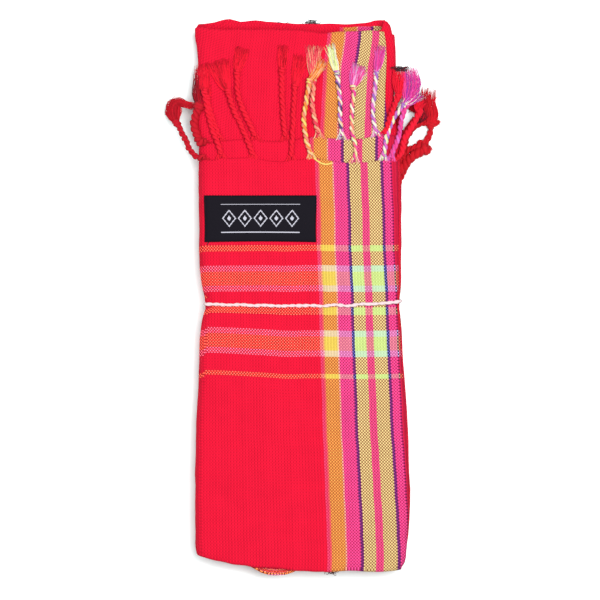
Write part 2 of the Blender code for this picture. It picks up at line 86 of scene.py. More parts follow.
bpy.ops.mesh.primitive_plane_add(size=FLOOR_SPAN, location=(0, 0, -FLOOR_BELOW))
floor = bpy.context.object
floor.name = "floor"
floor_finish = bpy.data.materials.new("pale_floor")
floor_finish.use_nodes = True
floor_shader = floor_finish.node_tree.nodes["Principled BSDF"]
floor_shader.inputs["Base Color"].default_value = FLOOR_COLOUR
floor_shader.inputs["Roughness"].default_value = FLOOR_ROUGHNESS
floor.data.materials.append(floor_finish)

for light in table(
    "name place size power",
    ("key", Vector((0.42, 0.18, 1.8)), 1.1, 51.0),
    ("fill", Vector((-0.8, 0.25, 1.5)), 1.4, 12.0),
):
    bpy.ops.object.light_add(type="AREA", location=light.place)
    lamp = bpy.context.object
    lamp.name = light.name
    lamp.rotation_euler = (-light.place).to_track_quat("-Z", "Y").to_euler()
    lamp.data.size = light.size
    lamp.data.energy = light.power
world = bpy.data.worlds.new("studio")
world.use_nodes = True
world.node_tree.nodes["Background"].inputs["Color"].default_value = (1, 1, 1, 1)
world.node_tree.nodes["Background"].inputs["Strength"].default_value = ROOM_LIGHT
bpy.context.scene.world = world

# The cloth is one length of plain cotton weave, hemmed at both ends. It makes four passes along
# its length, and that pack of four goes back and forth across the parcel in six panels, so one
# sheet gives all 24 layers. The string pinches the pack, and past the hems it has settled.
SHEET = 1.0 * MM
COTTON = 0.72 * MM
LAYER_GAP = 0.25 * MM
PINCHED_GAP = 0.1 * MM
UNDER_GROOVE = 3.0 * MM
PANELS = 6
PASSES = 4
FRONT_OUTER, FRONT_INNER, BACK_INNER, BACK_OUTER = range(PASSES)
TURN_ROUNDNESS = 0.75
ROOM_LEFT_BY_HEM = 0.45
ROOM_LEFT_UNDERNEATH = 0.05


def curve(pairs):
    """A smooth reading of a table's two columns, which doesn't overshoot its values."""
    keys, values = zip(*pairs)
    slopes = [(high - low) / (after - before)
              for low, high, before, after in zip(values, values[1:], keys, keys[1:])]
    leans = [0.0, *(2 * first * second / (first + second) if first * second > 0 else 0.0
                    for first, second in zip(slopes, slopes[1:])), 0.0]

    def read(at):
        if at <= keys[0]:
            return values[0]
        if at >= keys[-1]:
            return values[-1]
        place = bisect_right(keys, at) - 1
        span = keys[place + 1] - keys[place]
        t = (at - keys[place]) / span
        rise = values[place + 1] - values[place]
        start, end = leans[place] * span, leans[place + 1] * span
        return (values[place] + start * t + (3 * rise - 2 * start - end) * t * t
                + (start + end - 2 * rise) * t * t * t)

    return read


EDGES = table(
    "y left right",
    (-214, -79.5, 81.0), (-205, -82.0, 84.8), (-193, -84.0, 86.1), (-173, -84.2, 87.6),
    (-149, -84.2, 88.5), (-125, -84.0, 87.4), (-85, -82.6, 86.2), (-53, -81.3, 83.8),
    (-21, -79.6, 82.0), (-8, -77.2, 80.6), (0, -74.8, 79.4), (8, -77.4, 80.4),
    (20, -79.4, 81.6), (51, -80.9, 81.6), (130, -81.4, 80.6), (150, -83.8, 76.5),
    (170, -82.4, 75.6), (195, -81.6, 77.6), (206, -82.8, 77.2), (214, -84.2, 76.3),
    (221, -84.2, 75.0), (228, -83.8, 70.9),
)
ROWS = table(
    "y tilt pinch puff sag follows",
    (-211, 0.0, 0, 1.0, 0.0, "bottom"),
    (-165, 0.0, 0, 1.3, 0.0, "straight"),
    (-95, 0.0, 0, 1.1, 0.0, "straight"),
    (-26, 0.0, 0, 1.2, 0.0, "string"),
    (-5, 0.0, 1, 1.0, 0.0, "string"),
    (5, 0.0, 1, 1.0, 0.0, "string"),
    (24, 0.0, 0, 1.1, 0.0, "string"),
    (78, 0.0, 0, 1.3, 0.0, "straight"),
    (114.5, 3.0, 0, 1.1, 0.0, "hem"),
    (131.5, -4.0, 0, 1.1, 0.12, "hem"),
    (152, 0.0, 0, 1.1, 0.5, "straight"),
    (187, 0.0, 0, 1.2, 1.0, "straight"),
    (220, 0.0, 0, 1.0, 1.0, "top"),
)
ROW_KEYS = [row.y for row in ROWS]
BOTTOM, TOP = ROW_KEYS[0], ROW_KEYS[-1]
OUTER_HEM, INNER_HEM = [row.y for row in ROWS if row.follows == "hem"]
PANEL_ENDS = table(
    "hem top bottom",
    (0.0, 0.0, 0.0), (-3.0, -1.0, 1.0), (2.0, -2.5, 2.5),
    (-4.0, -1.6, 1.5), (1.0, -1.0, 2.0), (-10.0, 6.5, 3.0),
)
TURNS = table("low high", (0.0, 0.0), (0.0, 0.5), (1.5, 0.8), (1.4, 0.0), (0.6, 0.4))
SELVEDGES = table("low high", (1.0, 4.0), (2.2, 4.8), (3.2, 8.2), (2.6, 8.8))
LAST_PANEL_INSET = table("low high", (0.6, -6.0))[0]

STRING_RISE = 2.3 * MM
STRING_RISE_SHARE = 0.33
STRING_SAG = 1.4 * MM
HEM_WAVE = 1.2 * MM
HEM_WAVE_TURN = 17.0
HEM_WAVE_START = 0.6
TOP_EAR = 10.0 * MM
TOP_EAR_WIDTH = 0.047
TOP_EAR_TIP = 0.6
BOTTOM_LIFT = 1.0 * MM
TURNED_PANEL = 1
TURNED_END = 8.4 * MM
TURNED_MIDDLE = 0.64
TURNED_HALF = 0.135
# How far an end of the top panel and of the lowest panel strays in mm, by the share of the way
# across from the right edge to the left
TOP_STRAYS = curve(table(
    "across off",
    (0.0, -2.7), (0.07, -1.4), (0.13, -2.1), (0.19, -2.5), (0.25, -2.9), (0.32, -4.0), (0.39, -2.6),
    (0.46, -1.5), (0.56, -1.0), (0.67, -0.9), (0.78, -0.6), (0.86, -1.0), (0.94, -0.5), (1.0, 1.0),
))
LOWEST_TOP_STRAYS = curve(table(
    "across off",
    (0.04, 1.6), (0.08, 0.2), (0.13, -0.6), (0.19, -1.1), (0.26, -1.5), (0.37, -1.4), (0.48, -1.2),
    (0.56, -0.8), (0.64, 0.2), (0.69, 1.4), (0.73, 1.1), (0.78, 0.2), (0.81, 1.4), (0.84, 2.3),
    (0.88, 1.4), (0.92, 0.0), (0.96, -1.0), (1.0, -1.5),
))
BOTTOM_STRAYS = curve(table(
    "across off",
    (0.0, 0.2), (0.04, -0.3), (0.11, -0.8), (0.18, -0.2), (0.25, 0.3), (0.34, -0.8), (0.4, -1.0),
    (0.46, -0.6), (0.52, 0.0), (0.63, 2.0), (0.74, 2.7), (0.79, 4.3), (0.84, 4.9), (0.89, 6.8),
    (0.94, 8.5), (0.98, 10.3), (1.0, 11.1),
))
LEFT_EDGE = curve((edge.y, edge.left) for edge in EDGES)
RIGHT_EDGE = curve((edge.y, edge.right) for edge in EDGES)


def between(value, low, high):
    """Share of the way from low to high, kept to 0..1."""
    return min(1.0, max(0.0, (value - low) / (high - low)))


def mix(first, second, share):
    return first + (second - first) * share


def ease(share):
    return share * share * (3 - 2 * share)


def edge_left(y):
    return LEFT_EDGE(y / MM) * MM


def edge_right(y):
    return RIGHT_EDGE(y / MM) * MM


def string_line(across):
    """Height of the string, from the right edge, across = 0, to the left edge, across = 1."""
    rise = max(0.0, 1.0 - across / STRING_RISE_SHARE)
    return STRING_RISE * rise * rise - STRING_SAG * math.sin(across * math.pi)


def row_stray(index, panel, across):
    """How far a row strays from its own height on a panel."""
    row = ROWS[index]
    ends = PANEL_ENDS[panel]
    stray = row.tilt * (across - 0.5) * MM
    if row.follows == "string":
        stray += string_line(across)
    elif row.follows == "hem":
        stray += ends.hem * MM + HEM_WAVE * math.sin(across * HEM_WAVE_TURN + HEM_WAVE_START)
    elif row.follows == "top":
        strays = LOWEST_TOP_STRAYS if panel == PANELS - 1 else TOP_STRAYS
        stray += ends.top * MM + strays(across) * MM
        if panel in (1, 2):
            stray += TOP_EAR * ease(between(across, TOP_EAR_WIDTH, TOP_EAR_WIDTH * TOP_EAR_TIP))
    elif row.follows == "bottom":
        stray += ends.bottom * MM + BOTTOM_STRAYS(across) * MM
        if panel > 0:
            stray += BOTTOM_LIFT
        if panel == TURNED_PANEL:
            stray -= TURNED_END * max(0.0, 1 - ((across - TURNED_MIDDLE) / TURNED_HALF) ** 2)
    return stray


def line_y(height, panel, across):
    """Height of a line across a panel that lies among the rows, in metres."""
    place = min(bisect_right(ROW_KEYS, height) - 1, len(ROWS) - 2)
    share = ease(between(height, ROW_KEYS[place], ROW_KEYS[place + 1]))
    stray = mix(row_stray(place, panel, across), row_stray(place + 1, panel, across), share)
    return height * MM + stray


# Panel and pass of all layers from the lowest up. Every second panel lies face down.
LAYERS = [(panel, place if panel % 2 == 0 else PASSES - 1 - place)
          for panel in reversed(range(PANELS)) for place in reversed(range(PASSES))]


def stack_floors(row):
    """Undersides of all layers along a row, from the lowest layer up."""
    gap = PINCHED_GAP if row.pinch else LAYER_GAP * row.puff
    height = UNDER_GROOVE if row.pinch else 0.0
    floors = []
    for panel, sheet_pass in LAYERS:
        floors.append(height)
        share = 1.0
        if sheet_pass in (FRONT_OUTER, FRONT_INNER):
            room = ROOM_LEFT_UNDERNEATH if panel == PANELS - 1 else ROOM_LEFT_BY_HEM
            share = mix(1.0, room, row.sag)
        height += (SHEET + gap) * share
    return floors


FLOORS = [stack_floors(row) for row in ROWS]
LEVELS = {layer: curve((row.y, floors[level] + SHEET / 2) for row, floors in zip(ROWS, FLOORS))
          for level, layer in enumerate(LAYERS)}


@cache
def layer_z(panel, sheet_pass, height):
    """Middle of a layer's thickness at a height along the parcel."""
    return LEVELS[panel, sheet_pass](height)


def turn_reach(turn, height):
    """How far the outermost pass bulges past the middle of its turn."""
    if turn % 2 == 1:
        outermost = BACK_OUTER
    elif height <= OUTER_HEM:
        outermost = FRONT_OUTER
    else:
        outermost = FRONT_INNER if height <= INNER_HEM else BACK_INNER
    gap = layer_z(turn, outermost, height) - layer_z(turn + 1, outermost, height)
    return (gap / 2) * TURN_ROUNDNESS + SHEET / 2


def inset(row, y):
    return mix(row.low, row.high, between(y / MM, EDGES[0].y, EDGES[-1].y)) * MM


def turn_x(turn, height, y):
    """X of the middle of a turn."""
    if turn % 2 == 0:
        return edge_left(y) + inset(TURNS[turn], y) + turn_reach(turn, height)
    return edge_right(y) - inset(TURNS[turn], y) - turn_reach(turn, height)


def selvedge_x(panel, sheet_pass, y):
    extra = inset(LAST_PANEL_INSET, y) if panel == PANELS - 1 else 0.0
    return edge_right(y) - inset(SELVEDGES[sheet_pass], y) - extra


def fold_xz(column, sheet_pass, height, y):
    """Where a line along the cloth crosses one pass."""
    panel = column.panel
    if column.turn is not None:
        upper = layer_z(panel, sheet_pass, height)
        lower = layer_z(panel + 1, sheet_pass, height)
        half = (upper - lower) / 2
        angle = math.radians(column.angle)
        outward = -1 if column.turn % 2 == 0 else 1
        x = turn_x(column.turn, height, y) + outward * half * TURN_ROUNDNESS * math.cos(angle)
        return x, (upper + lower) / 2 + half * math.sin(angle)
    left = turn_x(panel if panel % 2 == 0 else panel - 1, height, y)
    if panel in (0, PANELS - 1):
        right = selvedge_x(panel, sheet_pass, y)
    else:
        right = turn_x(panel if panel % 2 == 1 else panel - 1, height, y)
    return mix(right, left, column.across), layer_z(panel, sheet_pass, height)


# Handling leaves soft dents and waves that run through all the layers alike, and the string draws
# up short creases on both of its sides
DENT_SIZE = 46 * MM
DENT_DEPTH = 0.05
RUMPLE_SIZE = 17 * MM
RUMPLE_DEPTH = 0.03
CREASE_SIZE = 7 * MM
CREASE_DEPTH = 0.075
CREASE_REACH = 13 * MM
CREASE_START = 4 * MM
CREASE_STRETCH = 4
RUMPLE_STRETCH = 0.6
RIPPLE_STRETCH = 2.0
SIDE_FALL = 0.2
SIDE_REACH = 8 * MM
EDGE_RIPPLES = table("size depth", (30 * MM, 0.8 * MM), (8 * MM, 0.35 * MM))


def handled(point):
    """A point of the cloth after handling."""
    dent = noise.noise(Vector((point.x, point.y, 0.0)) / DENT_SIZE) * DENT_DEPTH
    rumple = Vector((point.x + 1.0, point.y * RUMPLE_STRETCH, 0.0)) / RUMPLE_SIZE
    dent += noise.noise(rumple) * RUMPLE_DEPTH
    near_string = math.exp(-abs(point.y) / CREASE_REACH) * between(abs(point.y), 0.0, CREASE_START)
    crease = Vector((point.x / CREASE_SIZE, point.y / (CREASE_STRETCH * CREASE_SIZE), 9.0))
    dent += noise.noise(crease) * (CREASE_DEPTH * near_string)
    from_side = min(point.x - edge_left(point.y), edge_right(point.y) - point.x)
    dent -= SIDE_FALL * (1 - between(from_side, 0.0, SIDE_REACH)) ** 2
    moved = Vector((point.x, point.y, point.z * (1.0 + dent)))
    for ripple in EDGE_RIPPLES:
        moved.x += ripple.depth * noise.noise(Vector((point.y, point.z * RIPPLE_STRETCH, 0.1)) / ripple.size)
        moved.y += ripple.depth * noise.noise(Vector((point.x, point.z * RIPPLE_STRETCH, 0.3)) / ripple.size)
    return moved


# Each twisted strand of the fringe draws its hem up to a small peak, and between the strands the
# hem stays low and lifts a little
FRONT_ROOTS = (-76.0, -62.8, -37.2, -7.2, 9.2, 43.2, 66.6, 72.4, 77.6)
SECOND_ROOTS = (-75.5, -64.0, -35.2, -11.6, 15.6, 33.6, 61.2, 66.8)
HEM_PULL = 1.8 * MM
HEM_PULL_REACH = 2.6 * MM
HEM_PUFF = 0.8 * MM
HEM_DEPTH = 12 * MM


def drawn(x, roots):
    """How strongly the nearest strand draws the hem at x, from 0 to 1."""
    return max(math.exp(-abs(x - root * MM) / HEM_PULL_REACH) for root in roots)


def settled(column, line, point):
    """A point of the top panel with what its hem does."""
    if column.panel > 0 or line.first != line.second or line.first not in (FRONT_OUTER, FRONT_INNER):
        return point
    outer = line.first == FRONT_OUTER
    roots, hem = (FRONT_ROOTS, OUTER_HEM) if outer else (SECOND_ROOTS, INNER_HEM)
    near = ease(between(line.height * MM, hem * MM - HEM_DEPTH, hem * MM))
    if column.turn is not None:
        near *= (1 + math.sin(math.radians(column.angle))) / 2
    pull = drawn(point.x, roots) * near
    lift = (1 - drawn(point.x, roots)) * HEM_PUFF * near if outer else 0.0
    return point + Vector((0.0, HEM_PULL * pull, lift))


Column = namedtuple("Column", "panel turn angle across")
Line = namedtuple("Line", "height first second angle")


def cloth_point(column, line):
    y = line_y(line.height, column.panel, column.across)
    if column.turn is not None:
        way_round = 0.5 - column.angle / 180
        y = mix(y, line_y(line.height, column.panel + 1, column.across), way_round)
    x, z = fold_xz(column, line.first, line.height, y)
    if line.second != line.first:
        other_x, other_z = fold_xz(column, line.second, line.height, y)
        gap = abs(layer_z(column.panel, line.first, line.height)
                  - layer_z(column.panel, line.second, line.height))
        angle = math.radians(line.angle)
        share = (1 - math.sin(angle)) / 2
        outward = 1 if line.height > 0 else -1
        y += outward * gap / 2 * math.cos(angle)
        x, z = mix(x, other_x, share), mix(z, other_z, share)
    return Vector((x, y, z))


def spread(start, end, count):
    """Evenly spaced values from start up to, and without, end."""
    return [mix(start, end, place / count) for place in range(count)]


# The lowest panel's two passes lie askew, so that red shows along its top edge and at its right end,
# the more the nearer to that end
ASKEW_LINE = TOP - 1.7
ASKEW_GROWTH = 3.2 * MM
ASKEW_REACH = 0.13
ASKEW_END = 0.02
ASKEW_STEP = 0.002
ASKEW_EDGE = 0.3
ASKEW_FROM = 150
ASKEW_SHIFT = 40 * MM
COLUMNS = {0: 76, TURNED_PANEL: 24, PANELS - 1: 36}
HIDDEN_STOPS = (0.0, 0.02, 0.045, 0.25, 0.5, 0.75)
HEM_STRETCH = 12
INNER_STRETCH = 10
TURN_DEGREES = range(90, -91, -18)
FOLD_DEGREES = range(60, -61, -30)
columns = []
for panel in range(PANELS):
    stops = spread(0.0, 1.0, COLUMNS[panel]) if panel in COLUMNS else list(HIDDEN_STOPS)
    if panel == TURNED_PANEL:
        stops = sorted(stops + list(HIDDEN_STOPS[1:3]))
    if panel == PANELS - 1:
        stops = sorted(stops + [1 - ASKEW_END, 1 - ASKEW_END - ASKEW_STEP, 1.0])
    for stop in stops if panel % 2 == 0 else [1.0 - stop for stop in stops]:
        if not (columns and columns[-1].turn is not None and columns[-1].across == stop):
            columns.append(Column(panel, None, 0, stop))
    if panel < PANELS - 1:
        side = 1.0 if panel % 2 == 0 else 0.0
        columns += [Column(panel, panel, degrees, side) for degrees in TURN_DEGREES]


def along(sheet_pass, *stretches):
    """Lines across the cloth on one pass, by stretches of start, end and count."""
    return [Line(height, sheet_pass, sheet_pass, 90)
            for start, end, count in stretches for height in spread(start, end, count)]


def round_fold(height, first, second):
    return [Line(height, first, second, degrees) for degrees in FOLD_DEGREES]


lines = (
    along(FRONT_OUTER, (OUTER_HEM, OUTER_HEM - HEM_STRETCH, 8), (OUTER_HEM - HEM_STRETCH, BOTTOM, 72),
          (BOTTOM, BOTTOM, 1))
    + round_fold(BOTTOM, FRONT_OUTER, BACK_OUTER)
    + along(BACK_OUTER, (BOTTOM, ASKEW_LINE, 34), (ASKEW_LINE, ASKEW_LINE + 2 * ASKEW_EDGE, 2), (TOP, TOP, 1))
    + round_fold(TOP, BACK_OUTER, BACK_INNER)
    + along(BACK_INNER, (TOP, INNER_HEM - HEM_STRETCH, 34), (INNER_HEM - HEM_STRETCH, BOTTOM, 20),
            (BOTTOM, BOTTOM, 1))
    + round_fold(BOTTOM, BACK_INNER, FRONT_INNER)
    + along(FRONT_INNER, (BOTTOM, OUTER_HEM - INNER_STRETCH, 20), (OUTER_HEM - INNER_STRETCH, INNER_HEM, 14),
            (INNER_HEM, INNER_HEM, 1))
)

# Where the striped border falls on the layers that show: X of its inner edge and of its outer
# plum line, which are these distances from the woven edge
BORDER_DEPTH = 64.4 * MM
PLUM_DEPTH = 11.44 * MM


def border(*rows):
    """Reads how far a spot is from the woven edge, by the border's own lines."""
    rows = table("y inner plum", *rows)
    inner_line = curve((row.y, row.inner) for row in rows)
    plum_line = curve((row.y, row.plum) for row in rows)

    def depth(spot):
        inner, plum = inner_line(spot.y / MM) * MM, plum_line(spot.y / MM) * MM
        return PLUM_DEPTH + (plum - spot.x) * (BORDER_DEPTH - PLUM_DEPTH) / (plum - inner)

    return depth


FRONT_BORDER = border((-205, 22.4, 78.8), (-74, 18.1, 72.3), (83, 13.6, 66.2), (115, 12.6, 65.0))
SECOND_BORDER = border((115, 8.4, 61.0), (135, 8.4, 61.2))
BACK_BORDER = border((139, 17.0, 68.2), (151, 17.5, 68.5), (170, 18.4, 69.4), (189, 19.8, 71.4),
                     (205, 21.8, 74.0), (219, 23.2, 75.2))
PEEPING_BORDER = border((150, 17.0, 69.6), (200, 32.8, 85.6))
CLOTH_WIDTH = 985 * MM
CLOTH_LENGTH = 1530 * MM
HEM_LINE = 115.2 * MM
BAND_RISE = 3.6 * MM
BAND_RISE_ACROSS = 80 * MM
BAND_RISE_LOW = -15 * MM
BAND_RISE_HIGH = 25 * MM
# The second panel's end is skewed, so that one of its cross bands shows under the bottom fold, where
# the turn opens the weave and more weft shows
TURNED_FROM = -206 * MM
TURNED_DEPTH = 90.5 * MM
TURNED_OPENS = 0.42


def border_on(panel, line):
    if panel == PANELS - 1:
        return PEEPING_BORDER
    sheet_pass = line.first if line.angle >= 0 else line.second
    if sheet_pass == FRONT_INNER:
        return SECOND_BORDER
    if sheet_pass == FRONT_OUTER or line.height < OUTER_HEM and sheet_pass == BACK_OUTER:
        return FRONT_BORDER
    return BACK_BORDER


def band_depth(spot):
    """Distance from the outer hem by the cross bands, the lower of which rise to the left."""
    rise = BAND_RISE * ease(between(-spot.x, 0.0, BAND_RISE_ACROSS))
    return HEM_LINE - spot.y + rise * ease(between(-spot.y, BAND_RISE_LOW, BAND_RISE_HIGH))


grid = [[cloth_point(column, line) for line in lines] for column in columns]
for column, spots in zip(columns, grid):
    if column.panel == PANELS - 1 and column.turn is None:
        for line, spot in zip(lines, spots):
            if ASKEW_LINE <= line.height < TOP:
                spot.y -= ASKEW_GROWTH * (1 - between(column.across, 0.0, ASKEW_REACH))
across_cloth = []
for column, spots in zip(columns, grid):
    if column.turn is None and column.panel in (0, PANELS - 1):
        depths = [border_on(column.panel, line)(spot) for line, spot in zip(lines, spots)]
    else:
        before = grid[len(across_cloth) - 1]
        depths = [depth + (spot - last).length for depth, spot, last in zip(across_cloth[-1], spots, before)]
    if column.turn is None and column.panel == PANELS - 1:
        at_end = column.across < ASKEW_END + ASKEW_STEP / 2
        for place, line in enumerate(lines):
            askew = line.height > ASKEW_LINE or line.height > ASKEW_FROM and at_end
            depths[place] = CLOTH_WIDTH - depths[place] - (ASKEW_SHIFT if askew else 0.0)
    across_cloth.append(depths)

from_outer_hem = sum(line.first in (FRONT_OUTER, BACK_OUTER) for line in lines)
along_cloth = []
for column, spots in zip(columns, grid):
    depths = [0.0] * len(lines)
    for place in range(1, from_outer_hem):
        depths[place] = depths[place - 1] + (spots[place] - spots[place - 1]).length
    depths[-1] = CLOTH_LENGTH
    for place in range(len(lines) - 2, from_outer_hem - 1, -1):
        depths[place] = depths[place + 1] - (spots[place + 1] - spots[place]).length
    if column.panel == 0 and column.turn is None:
        for place, line in enumerate(lines):
            if line.first == line.second == FRONT_OUTER:
                depths[place] = band_depth(spots[place])
    if column.panel == TURNED_PANEL:
        for place, spot in enumerate(spots):
            if spot.y < TURNED_FROM:
                depths[place] = TURNED_DEPTH - spot.y + TURNED_FROM
    along_cloth.append(depths)


def thin_sheet(name, points, rows, uvs, thickness, **marks):
    """A smooth sheet on columns of so many points each, with a map of its threads and marks."""
    mesh = bpy.data.meshes.new(name)
    corners = [place for place in range(len(points) - rows) if (place + 1) % rows]
    mesh.from_pydata([layout + point for point in points], [],
                     [(place, place + rows, place + rows + 1, place + 1) for place in corners])
    threads = mesh.uv_layers.new(name="threads")
    for loop in mesh.loops:
        threads.data[loop.index].uv = uvs[loop.vertex_index]
    for mark, values in marks.items():
        mesh.attributes.new(mark, "FLOAT", "POINT").data.foreach_set("value", values)
    mesh.shade_smooth()
    sheet = bpy.data.objects.new(name, mesh)
    bpy.context.collection.objects.link(sheet)
    bpy.context.view_layer.objects.active = sheet
    solidify = sheet.modifiers.new("thickness", "SOLIDIFY")
    solidify.thickness = thickness
    solidify.offset = 0.0
    bpy.ops.object.modifier_apply(modifier=solidify.name)
    return sheet


cloth_spots = [(column, line, spot)
               for column, spots in zip(columns, grid) for line, spot in zip(lines, spots)]
cotton_cloth = thin_sheet(
    "cotton_cloth", [handled(settled(*place)) for place in cloth_spots], len(lines),
    [uv for across, along_it in zip(across_cloth, along_cloth) for uv in zip(across, along_it)], COTTON,
    opened=[TURNED_OPENS if column.panel == TURNED_PANEL and spot.y < TURNED_FROM else 0.0
            for column, line, spot in cloth_spots])


class Wire:
    """A node's output socket, with operators that add the maths nodes of an expression."""

    def __init__(self, tree, socket):
        self.tree = tree
        self.socket = socket

    def maths(self, operation, *others):
        maker = self.tree.nodes.new("ShaderNodeMath")
        maker.operation = operation
        for place, value in enumerate((self, *others)):
            if isinstance(value, Wire):
                self.tree.links.new(value.socket, maker.inputs[place])
            else:
                maker.inputs[place].default_value = value
        return Wire(self.tree, maker.outputs[0])

    def __add__(self, other):
        return self.maths("ADD", other)

    def __sub__(self, other):
        return self.maths("SUBTRACT", other)

    def __rsub__(self, other):
        return self * -1 + other

    def __mul__(self, other):
        return self.maths("MULTIPLY", other)

    def __truediv__(self, other):
        return self.maths("DIVIDE", other)

    __radd__ = __add__
    __rmul__ = __mul__

    def __lt__(self, other):
        return self.maths("LESS_THAN", other)

    def __gt__(self, other):
        return self.maths("GREATER_THAN", other)

    def __abs__(self):
        return self.maths("ABSOLUTE")

    def clamped(self):
        return self.maths("MAXIMUM", 0.0).maths("MINIMUM", 1.0)

    def wave(self, pitch):
        """Rises and falls by turns, from thread to thread."""
        return (self * (math.pi / pitch)).maths("SINE")


class Finish:
    """A material with a Principled shader, and the one method that adds its other nodes."""

    def __init__(self, name, roughness, specular=0.2):
        self.material = bpy.data.materials.new(name)
        self.material.use_nodes = True
        self.tree = self.material.node_tree
        self.shader = self.tree.nodes["Principled BSDF"]
        self.shader.inputs["Roughness"].default_value = roughness
        self.shader.inputs["Specular IOR Level"].default_value = specular

    def add(self, kind, settings, values, output=0):
        """Add a node: its settings, then its sockets' values or links, and wrap one output."""
        maker = self.tree.nodes.new(kind)
        for name, value in settings.items():
            setattr(maker, name, value)
        for socket, value in values.items():
            if isinstance(value, Wire):
                self.tree.links.new(value.socket, maker.inputs[socket])
            else:
                maker.inputs[socket].default_value = value
        return Wire(self.tree, maker.outputs[output])

    def blend(self, share, first, second):
        return self.add("ShaderNodeMix", {"data_type": "RGBA"}, {0: share, 6: first, 7: second}, 2)

    def scaled(self, colour, share):
        return self.add("ShaderNodeVectorMath", {"operation": "SCALE"}, {0: colour, "Scale": share})

    def threads(self):
        """A thin sheet's map of its threads, and the two places in it."""
        place = self.add("ShaderNodeUVMap", {"uv_map": "threads"}, {})
        return place, *(self.add("ShaderNodeSeparateXYZ", {}, {0: place}, axis) for axis in (0, 1))

    def attribute(self, name, output):
        return self.add("ShaderNodeAttribute", {"attribute_name": name}, {}, output)

    def steps(self, stops, place, output=0):
        """A ramp of flat steps: each stop's colour holds until the next."""
        seen = self.add("ShaderNodeValToRGB", {}, {0: place}, output)
        ramp = seen.socket.node.color_ramp
        ramp.interpolation = "CONSTANT"
        while len(ramp.elements) < len(stops):
            ramp.elements.new(1.0)
        for element, (start, colour) in zip(ramp.elements, stops):
            element.position = start
            element.color = colour
        return seen

    def light_of(self, colour):
        """How light a colour looks."""
        return self.add("ShaderNodeVectorMath", {"operation": "DOT_PRODUCT"}, {0: colour, 1: EYE_WEIGHTS}, 1)

    def finish(self, colour, height, depth, strength=1.0):
        """Connect the colour, and a relief of that depth in metres."""
        self.tree.links.new(colour.socket, self.shader.inputs["Base Color"])
        bump = self.add("ShaderNodeBump", {}, {"Height": height, "Distance": depth, "Strength": strength})
        self.tree.links.new(bump.socket, self.shader.inputs["Normal"])
        return self.material


# The floor is lit past white, so a dye reflects this share of what it shows on a screen
DYE_STRENGTH = 0.56


def dye(red, green, blue):
    """A dye by its 0 to 255 screen values, as the light it reflects."""
    shares = [value / 255 for value in (red, green, blue)]
    return tuple(DYE_STRENGTH * (share / 12.92 if share <= 0.04045 else ((share + 0.055) / 1.055) ** 2.4)
                 for share in shares)


RED = dye(253, 28, 62)
WEFT_RED = dye(238, 20, 58)
# The red at the woven edge is darker than the field: painted shade where the edge curves down.
SHADED_SELVEDGE_RED = dye(215, 38, 76)
GOLD = dye(250, 216, 94)
LIME = dye(199, 250, 163)
CREAM_WARP = dye(252, 214, 184)
PINK = dye(237, 88, 167)
MIDDLE_PINK = dye(233, 95, 156)
ROSE = dye(255, 88, 136)
SALMON_WARP = dye(255, 128, 120)
PLUM = dye(50, 54, 134)
LILAC = dye(230, 219, 255)

# A yarn's cover is how little of the crossing yarn shows between its loops, from -1 to 1. The
# covers of the two that cross are added. plain and banded are how far a stripe's loops differ in
# light over the red weft and over a cross band, which paints shade into the gaps between the yarns,
# and lit is how light a cross band makes it: on the red it is painted shade between the band's loops.
WARP_PITCH = 1.144 * MM
WEFT_PITCH = 1.24 * MM
STRIPE_SPAN = 80
BAND_SPAN = 200
CONTRAST_SPAN = 4
BANDED_COVER = 0.1
STRIPES = table(
    "start yarn cover plain banded lit",
    (0.0, SHADED_SELVEDGE_RED, 0.3, 1.2, 1.2, 1.0),
    (3.4, PLUM, -0.1, 1.0, 1.0, 1.0),
    (4.5, PINK, 0.14, 3.0, 0.9, 1.0),
    (10.3, PLUM, 0.42, 1.0, 1.0, 1.0),
    (12.6, LIME, 0.0, 1.15, 0.9, 1.0),
    (22.3, MIDDLE_PINK, 0.14, 3.0, 0.9, 1.0),
    (28.4, LIME, 0.0, 1.15, 0.9, 1.0),
    (37.8, PLUM, 0.42, 1.0, 1.0, 1.0),
    (40.0, PINK, 0.14, 3.0, 0.9, 1.0),
    (49.8, CREAM_WARP, 0.0, 0.9, 0.7, 1.0),
    (51.2, GOLD, -0.07, 0.75, 0.6, 1.0),
    (61.8, SALMON_WARP, 0.0, 1.0, 1.0, 1.0),
    (63.0, ROSE, 0.1, 1.2, 1.2, 1.0),
    (64.4, RED, 0.36, 1.5, 2.4, 0.87),
)
BANDS = table(
    "start yarn cover",
    (0.0, WEFT_RED, 0.0),
    (68.0, GOLD, 0.3),
    (72.3, WEFT_RED, 0.0),
    (84.2, LILAC, 0.31),
    (88.8, GOLD, 0.3),
    (100.3, LILAC, 0.31),
    (105.0, WEFT_RED, 0.0),
    (117.2, GOLD, 0.3),
    (124.0, WEFT_RED, 0.0),
    (135.8, LILAC, 0.31),
    (140.8, GOLD, 0.3),
    (153.0, LILAC, 0.31),
    (157.6, WEFT_RED, 0.0),
    (170.4, GOLD, 0.3),
    (174.7, WEFT_RED, 0.0),
)

cotton = Finish("striped_cotton", roughness=0.95, specular=0.06)
weave, u, v = cotton.threads()
warp_number = (u / WARP_PITCH).maths("FLOOR")
weft_number = (v / WEFT_PITCH).maths("FLOOR")
warp_place = (warp_number + 0.5) * WARP_PITCH
weft_place = (weft_number + 0.5) * WEFT_PITCH
from_edge = warp_place.maths("MINIMUM", CLOTH_WIDTH - warp_place)
from_hem = weft_place.maths("MINIMUM", CLOTH_LENGTH - weft_place)


def yarns_at(place, rows, span):
    """The dye and the cover of the yarn at a place, a share of the span that the rows reach."""
    stops = [(row.start / span, (*row.yarn, 0.5 + row.cover / 2)) for row in rows]
    return cotton.steps(stops, place), cotton.steps(stops, place, 1) * 2 - 1


